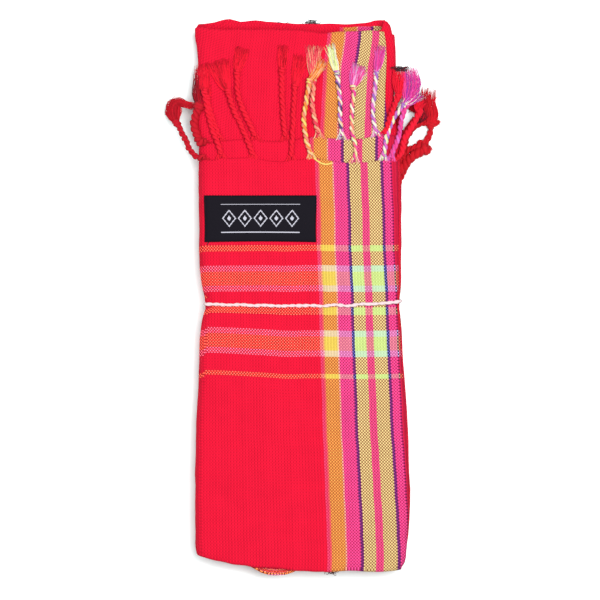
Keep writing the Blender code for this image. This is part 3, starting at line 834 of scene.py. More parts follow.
stripe_place = from_edge / (STRIPE_SPAN * MM)
warp_yarn, warp_cover = yarns_at(stripe_place, STRIPES, STRIPE_SPAN)
weft_yarn, weft_cover = yarns_at(from_hem / (BAND_SPAN * MM), BANDS, BAND_SPAN)
cover = warp_cover + weft_cover - cotton.attribute("opened", 2)
contrast_stops = [(stripe.start / STRIPE_SPAN,
                   (stripe.plain / CONTRAST_SPAN, stripe.banded / CONTRAST_SPAN, stripe.lit, 1.0))
                  for stripe in STRIPES]
contrasts = cotton.steps(contrast_stops, stripe_place)
on_plain, on_band, lit_by_band = (
    cotton.add("ShaderNodeSeparateColor", {}, {0: contrasts}, channel) for channel in range(3))
banded = weft_cover > BANDED_COVER
contrast = (on_plain + (on_band - on_plain) * banded) * CONTRAST_SPAN

LOOP_SHARPNESS = 3.0
CROWN_BREADTH = 2.2
RELIEF = 0.18 * MM
RELIEF_STRENGTH = 0.7
RIB_RELIEF = 0.5
BASE_LIGHT = 0.69
CROWN_LIGHT = 0.18
MOTTLE_LIGHT = 0.18
STREAK_LIGHT = 0.06
RIB_LIGHT = 0.1
MOTTLE = {"Scale": 70.0, "Detail": 3.0}
rib = u.wave(WARP_PITCH)
loops = rib * v.wave(WEFT_PITCH)
weft_shows = ((loops * -1 - cover) * LOOP_SHARPNESS + 0.5).clamped()
crown = (abs(loops + cover) * CROWN_BREADTH).clamped()
mottle = cotton.add("ShaderNodeTexNoise", {}, {"Vector": weave, **MOTTLE})
streak = cotton.add("ShaderNodeTexWhiteNoise", {"noise_dimensions": "1D"}, {"W": warp_number})
yarn_colour = cotton.blend(weft_shows, warp_yarn, weft_yarn)

# Stray fibres carry each yarn's dye over the next, so crossing yarns differ in light and dark
# more than in hue. That light and dark is each stripe's contrast, painted shade in the gaps between the
# yarns.
HUE_SHARED = 0.82
COVER_SHARED = 0.62
EYE_WEIGHTS = (0.2126, 0.7152, 0.0722)
shared = cotton.blend((0.5 - cover * COVER_SHARED).clamped(), warp_yarn, weft_yarn)
light_kept = cotton.light_of(yarn_colour) / cotton.light_of(shared)
hue_shared = cotton.scaled(shared, light_kept.maths("POWER", contrast))
seen_colour = cotton.blend(HUE_SHARED, yarn_colour, hue_shared)
# crown paints light on each yarn's crown and shade in the gaps between the yarns; mottle and streak are
# random tone
light_share = (BASE_LIGHT + crown * CROWN_LIGHT + mottle * MOTTLE_LIGHT + streak * STREAK_LIGHT
               + rib * RIB_LIGHT) * (1 + (lit_by_band - 1) * banded)
cotton_finish = cotton.finish(cotton.scaled(seen_colour, light_share), crown + rib * RIB_RELIEF,
                              RELIEF, RELIEF_STRENGTH)
cotton_cloth.data.materials.append(cotton_finish)
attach(cotton_cloth, "root")
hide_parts("cloth")

# The fringe is the cloth's own warp. Past each hem its yarns are gathered by the dozen, twisted
# into two-ply strands, knotted near the end and left to open into a brush.
PLY_RIDGE = 0.1
RIDGE_TURN = 0.9
DYE_RUN = 7


def heading(path, place, reach=1):
    """The direction of a path at one of its points."""
    return (path[min(place + reach, len(path) - 1)] - path[max(place - reach, 0)]).normalized()


def around(side, up, angle):
    return side * math.cos(angle) + up * math.sin(angle)


class Spinning:
    """Gathers round yarns and fibres into one mesh with a colour on each point."""

    def __init__(self):
        self.points = []
        self.faces = []
        self.colours = []
        self.caps = []

    def tube(self, path, radii, sides, colours, ridges=0, run=DYE_RUN, fluffy=1.0):
        """Add a closed tube along a path. Its colours take turns along it, as mixed yarns do."""
        first = len(self.points)
        side = None
        for place, (spot, radius) in enumerate(zip(path, radii)):
            ahead = heading(path, place)
            if side is None:
                side = ahead.orthogonal()
            side = (side - ahead * side.dot(ahead)).normalized()
            up = ahead.cross(side)
            for turn in range(sides):
                angle = 2 * math.pi * turn / sides
                thick = radius
                if ridges:
                    thick *= 1 + PLY_RIDGE * math.cos(ridges * angle + place * RIDGE_TURN)
                self.points.append(spot + around(side, up, angle) * thick)
                yarn = turn * len(colours) // sides + place // run
                self.colours.append((*colours[yarn % len(colours)], fluffy))
        for place in range(len(path) - 1):
            ring = first + place * sides
            for turn in range(sides):
                following = (turn + 1) % sides
                self.faces.append((ring + turn, ring + following,
                                   ring + sides + following, ring + sides + turn))
        last = first + (len(path) - 1) * sides
        self.caps += [len(self.faces), len(self.faces) + 1]
        self.faces.append(tuple(first + turn for turn in reversed(range(sides))))
        self.faces.append(tuple(last + turn for turn in range(sides)))

    def make(self, name, finish):
        mesh = bpy.data.meshes.new(name)
        mesh.from_pydata([layout + point for point in self.points], [], self.faces)
        dyes = mesh.color_attributes.new("dye", "FLOAT_COLOR", "POINT")
        dyes.data.foreach_set("color", [share for colour in self.colours for share in colour])
        mesh.shade_smooth()
        for cap in self.caps:
            mesh.polygons[cap].use_smooth = False
        mesh.materials.append(finish)
        piece = bpy.data.objects.new(name, mesh)
        bpy.context.collection.objects.link(piece)
        return piece


FRONT_HEM, SECOND_HEM = table(
    "height sheet_pass roots",
    (OUTER_HEM, FRONT_OUTER, FRONT_ROOTS),
    (INNER_HEM, FRONT_INNER, SECOND_ROOTS),
)


HEM_STEP = 3 * MM
DROOP = 0.022 / MM
FLOOR_REST = 0.6 * MM


def hem_y(hem, x):
    """Where a hem of the top panel lies at x."""
    y = hem.height * MM
    across = between(x, selvedge_x(0, hem.sheet_pass, y), edge_left(y))
    return line_y(hem.height, 0, across) + HEM_PULL * drawn(x, hem.roots)


def cloth_top(x, y):
    """Height of the uppermost layer at a spot, and how a strand droops past the parcel's sides."""
    height = y / MM
    level = layer_z(0, FRONT_OUTER, min(height, OUTER_HEM))
    for hem, next_level in ((FRONT_HEM, layer_z(0, FRONT_INNER, min(height, INNER_HEM))),
                            (SECOND_HEM, layer_z(0, BACK_INNER, height))):
        end = hem_y(hem, x)
        level = mix(level, next_level, ease(between(y, end, end + HEM_STEP)))
    level = handled(Vector((x, y, level))).z + COTTON / 2
    beyond = max(0.0, edge_left(y) - x, x - edge_right(y))
    return level - DROOP * beyond * beyond


def floor_top(x, y):
    return FLOOR_REST


def plan(places):
    """Places in mm, seen from above, as points on the floor."""
    return [Vector((x, y, 0.0)) * MM for x, y in places]


def smooth_route(stops, step):
    """Points a step apart on one smooth curve through the stops."""
    padded = [2 * stops[0] - stops[1]] + stops + [2 * stops[-1] - stops[-2]]
    route = []
    for before, start, end, after in zip(padded, padded[1:], padded[2:], padded[3:]):
        count = max(1, round((end - start).length / step))
        for place in range(count):
            t = place / count
            route.append(0.5 * (2 * start + (end - before) * t
                                + (2 * before - 5 * start + 4 * end - after) * t * t
                                + (3 * start - before - 3 * end + after) * t * t * t))
    return route + [stops[-1]]


ORANGE = dye(255, 146, 62)
YELLOW = dye(255, 222, 118)
SALMON = dye(255, 142, 120)
PEACH = dye(255, 200, 156)
CREAM = dye(252, 246, 226)
FRINGE_RED = dye(248, 20, 52)
# A darker copy of the fringe red, painted shade: on the strands in shade at the left side, between the fibres
# of red brushes and in the lowest fringe's brushes.
SHADED_FRINGE_RED = dye(205, 14, 38)
# A darker copy of the fringe red for the lowest fringe, which lies low by the floor: painted shade.
SHADED_LOW_RED = dye(214, 18, 36)
MAGENTA = dye(226, 58, 158)
VIOLET = dye(168, 56, 164)
# Maroon is the colour of some frayed thread and fuzz, and painted shade in the gap among the lowest strands
# and on one red brush's tip.
MAROON_AND_SHADE = dye(112, 14, 32)
BRICK = dye(222, 70, 44)
CORAL = dye(244, 70, 92)
FRINGE_PINK = dye(246, 74, 156)
ORCHID = dye(236, 112, 200)
PALE_ORCHID = dye(240, 180, 222)
PALE_VIOLET = dye(172, 112, 200)
NAVY = dye(84, 72, 112)
FRINGE_LIME = dye(236, 246, 168)

# Each strand's route over the layers in mm: where it has come together past the hem, on to its
# knot, then its brush as places with the brush's width there. plies are its two plies' yarns.
STRAND = "route brush lift thick plies tuft"
# The deep red fibres among a red brush's fibres paint the shade between them.
REDS = ((FRINGE_RED,), (FRINGE_RED,))
RED_TUFT = (FRINGE_RED, FRINGE_RED, FRINGE_RED, SHADED_FRINGE_RED)
# The lowest fringe's darker reds are painted shade.
LOW_REDS = ((SHADED_LOW_RED,), (SHADED_LOW_RED,))
LOW_TUFT = (SHADED_LOW_RED, SHADED_LOW_RED, SHADED_FRINGE_RED)
FRONT_STRANDS = table(
    STRAND,
    # This strand hangs over the left side in shade: its deep red is painted shade.
    (((-81.6, 117), (-88.0, 123), (-91.4, 130.8), (-95.4, 138.4), (-98.8, 145)),
     ((-101.8, 155, 12.5), (-98.8, 162, 11.5), (-91.4, 160, 4), (-84, 158.4, 2.6), (-78, 157, 2)),
     0, 1.2, ((SHADED_FRINGE_RED,), (SHADED_FRINGE_RED,)), (SHADED_FRINGE_RED,)),
    (((-65.2, 127), (-69.8, 139), (-74, 154), (-76.4, 169.5)),
     ((-77.2, 181, 8), (-77.6, 193, 12)), 0, 1.1, REDS, RED_TUFT),
    (((-40.0, 126), (-43.6, 135), (-50.4, 150), (-55.4, 162), (-57.2, 170)),
     ((-61.5, 179, 12), (-66, 196, 20)), 1.0, 1.1, REDS, RED_TUFT),
    (((-6.6, 126), (-5.6, 143), (-4.8, 159), (-4.0, 174)),
     ((-2, 186, 9), (2, 200, 13)), 0, 1.05, REDS, RED_TUFT),
    (((7.0, 124), (4.6, 133), (3.0, 146), (4.8, 162), (7.6, 178)),
     ((12.8, 185, 5), (19.6, 196, 8)), 3.2, 1.0, ((YELLOW, PEACH), (ORANGE, SALMON)),
     (ORANGE, BRICK, ORANGE, PEACH)),
    (((44.4, 123), (43.6, 130), (41.6, 139), (41.6, 157), (43.2, 167), (42.8, 173.5)),
     ((44.6, 181, 9), (48.8, 192, 14)), 0, 0.92,
     ((SALMON, FRINGE_PINK), (CREAM, FRINGE_LIME, PEACH)),
     (FRINGE_PINK, ORCHID, FRINGE_PINK, PALE_ORCHID)),
    (((67.4, 123), (68.8, 131.6), (72, 142), (76.8, 151.6), (83.2, 159.6)),
     ((89.4, 165, 9), (97.4, 171.4, 14)), 1.6, 1.0, ((CREAM, FRINGE_LIME, CREAM), (PALE_VIOLET, ORCHID)),
     (VIOLET, ORCHID, MAGENTA, CREAM)),
    (((74.6, 123), (78.4, 132.4), (80.6, 142), (81.8, 150), (85, 159)),
     ((87.6, 168, 12), (89.4, 178, 15), (87.4, 190, 11)), 0.6, 1.05,
     ((FRINGE_PINK, ORCHID), (FRINGE_PINK,)), (MAGENTA, FRINGE_PINK, FRINGE_PINK, VIOLET)),
    (((81.4, 122), (83.2, 131), (87.4, 139), (92, 146.4), (95.4, 154)),
     ((96, 160, 8), (100, 167, 10)), 0, 1.25, REDS, RED_TUFT),
)
SECOND_STRANDS = table(
    STRAND,
    # This strand hugs the left side in shade: its deep red is painted shade.
    (((-79.0, 128), (-81.2, 132), (-83.8, 139), (-84.9, 146), (-82.8, 152), (-80.8, 158)),
     ((-83.2, 170, 6), (-82.4, 182, 6), (-82, 192, 5)), 0, 1.65, ((SHADED_FRINGE_RED,), (SHADED_FRINGE_RED,)),
     (SHADED_FRINGE_RED, SHADED_FRINGE_RED, MAROON_AND_SHADE)),
    (((-66.0, 138), (-69.4, 147), (-72.4, 157), (-74.0, 165)),
     ((-74.6, 176, 6),), 0, 1.0, REDS, RED_TUFT),
    (((-37.6, 138), (-41.2, 146), (-46, 156), (-49.6, 168), (-50.4, 185)),
     ((-48.4, 195, 8), (-45.6, 206, 11)), 0, 1.1, REDS, RED_TUFT),
    (((-12.4, 139), (-13.6, 153), (-14.4, 169), (-14.4, 187)),
     ((-14, 197, 6), (-13.6, 208, 8)), 0, 1.1, REDS, RED_TUFT),
    (((13.8, 140), (12, 147), (9.8, 159), (10.4, 171), (11.0, 180)),
     ((10.6, 192, 9), (11.6, 208, 13)), 0, 1.0, ((PEACH, SALMON), (CORAL, SALMON)),
     (SALMON, CORAL, CORAL, PEACH)),
    (((33.0, 141), (31.8, 149), (32, 157), (31.2, 170), (29.6, 185)),
     ((26.6, 196, 5), (24.0, 209, 7)), 0, 0.92, ((CREAM, PEACH, CREAM), (PALE_VIOLET, ORCHID, NAVY)),
     (FRINGE_LIME, FRINGE_LIME, CREAM)),
    (((60.0, 140), (58.4, 149), (58.4, 159), (60, 171), (61.2, 186)),
     ((63.2, 196, 6), (65.8, 208, 7.5)), 0, 0.92, ((CREAM, PALE_ORCHID, CREAM), (PALE_VIOLET, ORCHID)),
     (MAGENTA, FRINGE_PINK, ORCHID)),
    (((68.8, 138), (71.2, 147), (74.8, 157), (79.0, 167)),
     ((79.8, 178, 11), (80.4, 190.4, 11)), 0, 1.2, REDS, RED_TUFT),
)
LOWEST_STRANDS = table(
    STRAND,
    (((82.4, 117), (87.4, 124), (94, 127), (101.2, 130.2), (104.6, 136.4), (105.8, 144)),
     ((106, 152, 10), (105, 158, 9), (103.2, 165, 13), (104.6, 174.5, 12)), 0, 1.25, LOW_REDS, LOW_TUFT),
    (((83, 110.5), (89.6, 118), (95.6, 121.8), (100.6, 124.6)),
     ((103.6, 126.8, 7), (105, 128.5, 6)), 0.6, 1.9, LOW_REDS, LOW_TUFT),
    (((83.4, 112), (83.4, 121), (83.2, 130), (85, 137)),
     ((89.6, 143.6, 6), (94.6, 150, 7)), 0, 1.4, LOW_REDS, (SHADED_FRINGE_RED,)),
    (((80.6, 114), (80.6, 124), (80.2, 133), (79, 142)),
     ((79, 150, 6), (79, 160, 6)), 0, 1.3, LOW_REDS, (SHADED_FRINGE_RED,)),
    # This maroon strand fills the dark gap among the lowest strands: painted shade.
    (((84, 128), (88, 138.6), (92.6, 144.6), (97.4, 147.6)),
     ((100.2, 152, 9), (99.6, 163, 10)), 0, 1.0, ((MAROON_AND_SHADE,), (MAROON_AND_SHADE,)), (MAROON_AND_SHADE, MAROON_AND_SHADE, SHADED_FRINGE_RED)),
    (((94, 127.6), (99.6, 130.4), (103.8, 136.6), (106.4, 143.6)),
     ((109.8, 146.8, 5), (113.6, 147.4, 2)), 0.8, 0.9, LOW_REDS, LOW_TUFT),
    (((84, 127), (88.6, 137.6), (93.8, 146), (95.8, 152)),
     ((94.6, 157, 8), (90, 160.6, 10), (85, 161, 9)), 0, 1.0, LOW_REDS, LOW_TUFT),
    (((86, 132), (91, 141), (97, 144.6), (102.6, 146)),
     ((105.6, 150, 8), (106.6, 157, 9)), 0.4, 1.0, LOW_REDS, LOW_TUFT),
)


GATHER_HALF = 5.2 * MM
GATHER_YARNS = 13
GATHER_RADIUS = 0.34 * MM
GATHER_REACH = 6.5 * MM
GATHER_STEPS = 7
GATHER_LEFT_INSET = 1.5 * MM
GATHER_RIGHT_INSET = 1.0 * MM
GATHER_BEDDED = 0.9
GATHER_THIN = 0.8
GATHER_THICK = 1.15
GATHER_SIDES = 5
GATHER_FLUFF = 0.2
GATHER_JITTER = 0.4
GATHER_START = 1.2 * MM
GATHER_TURN = 2.4 * MM
GATHER_RISE = 1.4
GATHER_END = 1.5 * MM


def gather(spinning, hem, root, route, yarns, chance):
    """The warp yarns that run from the hem into one strand."""
    low = edge_left(hem.height * MM) + GATHER_LEFT_INSET
    high = selvedge_x(0, hem.sheet_pass, hem.height * MM) - GATHER_RIGHT_INSET
    reach = next(spot for spot in route if (spot - route[0]).length >= GATHER_REACH / 2)
    for number in range(GATHER_YARNS):
        place = 2 * number / (GATHER_YARNS - 1) - 1
        x = min(high, max(low, root.x + place * GATHER_HALF
                         + chance.uniform(-GATHER_JITTER, GATHER_JITTER) * MM))
        start = Vector((x, hem_y(hem, x) - GATHER_START, 0.0))
        turn = Vector((root.x + place * GATHER_TURN, root.y + (GATHER_RISE - abs(place)) * MM, 0.0))
        end = Vector((reach.x + place * GATHER_END, reach.y, 0.0))
        path = []
        for step in range(GATHER_STEPS + 1):
            t = step / GATHER_STEPS
            spot = start * (1 - t) ** 2 + turn * (2 * t * (1 - t)) + end * t * t
            ground = cloth_top(spot.x, spot.y) + GATHER_RADIUS * GATHER_BEDDED
            spot.z = mix(ground, max(ground, reach.z + (1 - abs(place)) * PLY_RADIUS), t * t)
            path.append(spot)
        radii = [GATHER_RADIUS * mix(GATHER_THIN, GATHER_THICK, step / GATHER_STEPS)
                 for step in range(GATHER_STEPS + 1)]
        spinning.tube(path, radii, GATHER_SIDES, (chance.choice(yarns),), fluffy=GATHER_FLUFF)


BRUSH_STEP = 0.5 * MM
BRUSH_START = 3.2 * MM
BRUSH_FIBRES = 28
FIBRES_A_MM = 12
FIBRE_STEPS = 8
FIBRE_SIDES = 3
FIBRE_RADIUS = 0.29 * MM
FIBRE_THICK = 1.1
FIBRE_THIN = 0.4
FIBRE_SHORTEST = 0.66
FIBRE_FLARE = 0.8 * MM
FIBRE_SWAY = 1.3
SWAY_TURN = 1.3
FIBRE_REST = 1.3
FIBRE_PAINTED_LIGHT = 1.5
FIBRE_FLUFF = 0.25
LIFT_FALL = 0.6
BUNDLE_AT_KNOT = 3.4
BUNDLE_AT_TIP = 0.6
BUNDLE_ROUND = 0.6


def open_brush(spinning, strand, knot, rest, chance):
    """The loose fibres past a knot."""
    stops = [knot.xy.to_3d()] + plan((x, y) for x, y, width in strand.brush)
    widths = [BRUSH_START] + [width * MM for x, y, width in strand.brush]
    middle = smooth_route(stops, BRUSH_STEP)
    count = len(middle) - 1
    for fibre in range(max(BRUSH_FIBRES, round(max(widths) / MM * FIBRES_A_MM))):
        place = chance.uniform(-1, 1)
        reach = chance.uniform(FIBRE_SHORTEST, 1.0)
        depth = chance.uniform(0.0, 1.0)
        sway = chance.uniform(-FIBRE_SWAY, FIBRE_SWAY) * MM
        flare = chance.gauss(0.0, 1.0) * FIBRE_FLARE
        path = []
        for number in range(FIBRE_STEPS):
            share = number / (FIBRE_STEPS - 1)
            run = reach * share
            at = round(run * count)
            ahead = heading(middle, at, 2)
            aside = Vector((ahead.y, -ahead.x, 0.0))
            stop = min(int(run * (len(widths) - 1)), len(widths) - 2)
            width = mix(widths[stop], widths[stop + 1], run * (len(widths) - 1) - stop)
            bend = sway * math.sin(share * math.pi * SWAY_TURN) + flare * share * share
            spot = middle[at] + aside * (place * width / 2 + bend)
            bundle = mix(BUNDLE_AT_KNOT, BUNDLE_AT_TIP, ease(share)) * MM * depth * (
                1 - BUNDLE_ROUND * place * place)
            lift = strand.lift * MM * (1 - share * LIFT_FALL)
            spot.z = rest(spot.x, spot.y) + FIBRE_RADIUS * FIBRE_REST + lift + bundle
            path.append(spot)
        radii = [FIBRE_RADIUS * mix(FIBRE_THICK, FIBRE_THIN, ease(number / FIBRE_STEPS))
                 for number in range(FIBRE_STEPS)]
        # Each fibre is lighter than its dye by a random share: random tone, and painted light that offsets
        # the shade the thin fibres cast on each other.
        tint = chance.uniform(1.0, FIBRE_PAINTED_LIGHT)
        colour = tuple(share * tint for share in chance.choice(strand.tuft))
        spinning.tube(path, radii, FIBRE_SIDES, (colour,), fluffy=FIBRE_FLUFF)


def beside(ahead):
    """The level direction beside a route, and the one square to both."""
    side = ahead.cross(Vector((0, 0, 1))).normalized()
    return side, side.cross(ahead)


STEP = 0.9 * MM
STRAND_REST = 2.05 * MM
PLY_RADIUS = 1.16 * MM
PLY_OFFSET = 0.98 * MM
TWIST_PITCH = 9.0 * MM
PLY_SIDES = 12
PLY_YARNS = 3
PLY_UNEVEN = 0.26
UNEVEN_SIZE = 3 * MM
PLY_WANDER = 0.5 * MM
WANDER_SIZE = 5 * MM
TAPER_STEPS = 6
TAPERED = 0.7
LIFT_FROM = 0.5
LIFT_TO = 0.85
KNOT_TURNS = 1.7
KNOT_RADIUS = 1.6 * MM
KNOT_LENGTH = 3.6 * MM
KNOT_YARN = 1.1 * MM
KNOT_STEPS = 24
KNOT_RUN = 3
KNOT_REACH = 3


def twist_strand(spinning, strand, root, rest, seed):
    """Two plies round one route from the hem, with a knot and a brush at its end."""
    chance = Random(seed)
    route = smooth_route([root] + plan(strand.route), STEP)
    count = len(route)
    for place, spot in enumerate(route):
        lift = strand.lift * MM * ease(between(place / count, LIFT_FROM, LIFT_TO))
        spot.z = rest(spot.x, spot.y) + STRAND_REST * strand.thick + lift
        spot.x += PLY_WANDER * noise.noise(spot / WANDER_SIZE) * between(place, 0, TAPER_STEPS)
    start = chance.uniform(0, 2 * math.pi)
    plies = ([], [])
    run = 0.0
    for place, spot in enumerate(route):
        side, up = beside(heading(route, place))
        if place:
            run += (spot - route[place - 1]).length
        for ply, path in enumerate(plies):
            angle = start + 2 * math.pi * run / TWIST_PITCH + ply * math.pi
            path.append(spot + around(side, up, angle) * PLY_OFFSET * strand.thick)
    for path, yarns in zip(plies, strand.plies):
        radii = [PLY_RADIUS * strand.thick * mix(TAPERED, 1.0, between(place, 0, TAPER_STEPS))
                 * (1 + PLY_UNEVEN * noise.noise(spot / UNEVEN_SIZE)) for place, spot in enumerate(path)]
        spinning.tube(path, radii, PLY_SIDES, yarns, PLY_YARNS)
    knot = route[-1]
    ahead = heading(route, count - 1, KNOT_REACH)
    side, up = beside(ahead)
    coil = []
    for place in range(KNOT_STEPS + 1):
        share = place / KNOT_STEPS
        angle = start + 2 * math.pi * KNOT_TURNS * share
        run_on = ahead * KNOT_LENGTH * (share - 0.5)
        coil.append(knot + run_on + around(side, up, angle) * KNOT_RADIUS * strand.thick)
    radii = [KNOT_YARN * strand.thick] * len(coil)
    spinning.tube(coil, radii, PLY_SIDES, strand.plies[0] + strand.plies[1], PLY_YARNS, KNOT_RUN)
    open_brush(spinning, strand, knot, rest, chance)
    return route, chance


FLUFF = {"Scale": 1400.0, "Detail": 2.0}
FLUFF_RELIEF = 0.4 * MM
FLUFF_STRENGTH = 0.5
FLUFF_LIGHT = 0.4
YARN_LIGHT = 0.84
spun = Finish("spun_yarn", roughness=0.9)
dyed = spun.attribute("dye", 0)
fluffy = spun.attribute("dye", 3)
place_on_piece = spun.add("ShaderNodeTexCoord", {}, {}, 3)
fluff = spun.add("ShaderNodeTexNoise", {}, {"Vector": place_on_piece, **FLUFF})
spun_finish = spun.finish(spun.scaled(dyed, YARN_LIGHT + fluff * FLUFF_LIGHT), fluff * fluffy,
                          FLUFF_RELIEF, FLUFF_STRENGTH)

ROOT_PAST_HEM = 1 * MM
LOWEST_ROOT = (74, 104)
LOWEST_ROOT_STEP = 4
LOOSE_WEFT_RADIUS = 0.75 * MM
LOOSE_WEFT_REST = 0.8 * MM
for fringe in table(
    "name strands node hem rest",
    ("front_fringe", FRONT_STRANDS, "fringe_front", FRONT_HEM, cloth_top),
    ("second_fringe", SECOND_STRANDS, "fringe_inner", SECOND_HEM, cloth_top),
    ("lowest_fringe", LOWEST_STRANDS, "fringe_under", None, floor_top),
):
    spinning = Spinning()
    for number, strand in enumerate(fringe.strands):
        if fringe.hem:
            x = fringe.hem.roots[number] * MM
            root = Vector((x, hem_y(fringe.hem, x) + ROOT_PAST_HEM, 0.0))
        else:
            root, = plan([(LOWEST_ROOT[0], LOWEST_ROOT[1] - LOWEST_ROOT_STEP * number)])
        route, chance = twist_strand(spinning, strand, root, fringe.rest, f"{fringe.name} {number}")
        if fringe.hem:
            gather(spinning, fringe.hem, root, route, strand.plies[0] + strand.plies[1], chance)
    if fringe.hem == FRONT_HEM:
        # The last weft of this hem has worked loose beside the orange strand
        loose = smooth_route(plan(((11, 116.5), (16, 112.8), (21, 111.4), (25.6, 112.6))), STEP)
        for spot in loose:
            spot.z = cloth_top(spot.x, spot.y) + LOOSE_WEFT_REST
        spinning.tube(loose, [LOOSE_WEFT_RADIUS] * len(loose), 6, (YELLOW,))
    piece = spinning.make(fringe.name, spun_finish)
    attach(piece, "root")
    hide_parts(fringe.node)

# Dark sewing thread has frayed out at the top fold, under the bottom fold and by the label's lower
# corner, and a tuft of dark fibres lies on one red brush's tip, partly painted shade there. Each end
# starts between the layers, and only its tip shows. The one with no height of its own lies on the brush's
# tip.
FRAYED_RADIUS = 0.22 * MM
FRAYED_STEPS = 6
BRUSH_THICK = 1.6
STITCH_RADIUS = 0.35 * MM
STITCH_REST = 0.4 * MM
# This dark ink colour is the thread's, and partly painted shade on one red brush's tip.
INK_AND_SHADE = dye(54, 46, 54)
SMOKE = dye(112, 98, 98)
FRAYED_LEAN = 5.0
FRAYED_CURL = 2.0
FRAYED_SPREAD = 1.0
FRAYED_SHORTEST = 0.6
FRAYED_TURN = 0.6
frayed = Spinning()
chance = Random("frayed thread")
for fray in table(
    "x y z root width reach count dyes",
    (9.2, 223.4, 1.3, 9.0, 12.0, 6.2, 36, (INK_AND_SHADE, SMOKE)),
    (-14.6, 224.6, 1.3, 10.0, 5.0, 3.0, 9, (INK_AND_SHADE, SMOKE)),
    (25.0, -210.5, 9.0, -4.0, 9.0, -9.0, 22, (INK_AND_SHADE, MAROON_AND_SHADE)),
    # This tuft on a red brush's tip is partly painted shade.
    (81.0, 187.2, None, 0.6, 9.0, 3.6, 56, (INK_AND_SHADE, INK_AND_SHADE, MAROON_AND_SHADE)),
):
    for number in range(fray.count):
        place = chance.uniform(-0.5, 0.5)
        reach = fray.reach * chance.uniform(FRAYED_SHORTEST, 1.0) * (1 - 2 * place * place)
        lean = chance.uniform(-FRAYED_LEAN, FRAYED_LEAN)
        curl = chance.uniform(-FRAYED_CURL, FRAYED_CURL)
        path = []
        for step in range(FRAYED_STEPS):
            share = step / (FRAYED_STEPS - 1)
            x = fray.x + place * fray.width + lean * share * share + curl * math.sin(share * math.pi)
            y = fray.y + reach * math.sin(share * math.pi * FRAYED_TURN)
            z = fray.z or cloth_top(x * MM, y * MM) / MM + BRUSH_THICK
            z += chance.uniform(-FRAYED_SPREAD, FRAYED_SPREAD) * share
            path.append(Vector((x, y, z)) * MM)
        path.insert(0, path[0] - Vector((0.0, fray.root * MM, 0.0)))
        dyes = (chance.choice(fray.dyes),)
        frayed.tube(path, [FRAYED_RADIUS] * len(path), FIBRE_SIDES, dyes, fluffy=0.0)
stitch = plan(((-73.0, 49.4), (-73.6, 48.2), (-74.4, 47.2)))
for spot in stitch:
    spot.z = cloth_top(spot.x, spot.y) + STITCH_REST
frayed.tube(stitch, [STITCH_RADIUS] * len(stitch), 5, (INK_AND_SHADE,))
frayed_thread = frayed.make("frayed_thread", spun_finish)
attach(frayed_thread, "root")

# The label is a strip of close dark ribbon weave with a woven ornament in pale thread, its cut
# ends turned under, sewn flat on the outer layer.
LABEL_SIZE = Vector((89.0, 37.2)) * MM
LABEL_THICK = 0.8 * MM
LABEL_COLUMNS = 60
LABEL_ROWS = 26
LABEL_BOW = 0.5 * MM
LABEL_SWAY = 0.3 * MM
LABEL_SWAY_TURN = 5.0
LABEL_REST = 0.1 * MM
TURNED_EDGE = 3 * MM
EDGE_SWELL = 0.5 * MM
label_points = []
label_uvs = []
for column in range(LABEL_COLUMNS + 1):
    for row in range(LABEL_ROWS + 1):
        share_x, share_y = column / LABEL_COLUMNS, row / LABEL_ROWS
        x = LABEL_PLACE.x + (share_x - 0.5) * LABEL_SIZE.x
        y = LABEL_PLACE.y + (share_y - 0.5) * LABEL_SIZE.y
        y += LABEL_BOW * math.sin(share_x * math.pi) * (1 - share_y)
        x += LABEL_SWAY * math.sin(share_y * LABEL_SWAY_TURN) * (1 - 2 * share_x)
        to_rim = min(share * size for place, size in ((share_x, LABEL_SIZE.x), (share_y, LABEL_SIZE.y))
                     for share in (place, 1 - place))
        swell = EDGE_SWELL * ease(between(to_rim, 0.0, TURNED_EDGE))
        label_points.append(Vector((x, y, cloth_top(x, y) + LABEL_THICK / 2 + LABEL_REST + swell)))
        label_uvs.append((share_x * LABEL_SIZE.x, share_y * LABEL_SIZE.y))
woven_label = thin_sheet("woven_label", label_points, LABEL_ROWS + 1, label_uvs, LABEL_THICK)

# A row of lozenges between two lines, each drawn by its distance from a stitch line
RIBBON_THREAD = 0.42 * MM
LOZENGE_SPACING = 12.6 * MM
LOZENGE_TALL = 1.25
LINE_OFFSET = 11.2 * MM
PALE_THREAD = dye(226, 226, 240)
LOZENGE_REACH = 6.4 * MM
HEART_REACH = 2.1 * MM
RING_HALF = 0.62 * MM
LINE_HALF = 0.4 * MM
LOZENGES = 5
RIBBON_INK = dye(18, 14, 26)
PALE_SHARE = 0.94
RIBBON_LIGHT = 0.66
RIBBON_RIB_LIGHT = 0.44
RIBBON_RELIEF = 0.1 * MM
RIBBON_STRENGTH = 0.5
ribbon = Finish("label_ribbon", roughness=0.75, specular=0.1)
ribbon_u, ribbon_v = ribbon.threads()[1:]
thread_u = (ribbon_u / RIBBON_THREAD).maths("FLOOR") * RIBBON_THREAD - LABEL_SIZE.x / 2
thread_v = (ribbon_v / RIBBON_THREAD).maths("FLOOR") * RIBBON_THREAD - LABEL_SIZE.y / 2
in_cell = (thread_u / LOZENGE_SPACING + 0.5).maths("FRACT") - 0.5
lozenge = abs(in_cell) * LOZENGE_SPACING * LOZENGE_TALL + abs(thread_v)
ring = abs(lozenge - LOZENGE_REACH) < RING_HALF
heart = lozenge < HEART_REACH
border_line = abs(abs(thread_v) - LINE_OFFSET) < LINE_HALF
within = abs(thread_u) < LOZENGES / 2 * LOZENGE_SPACING
ornament = (ring + heart + border_line).clamped() * within
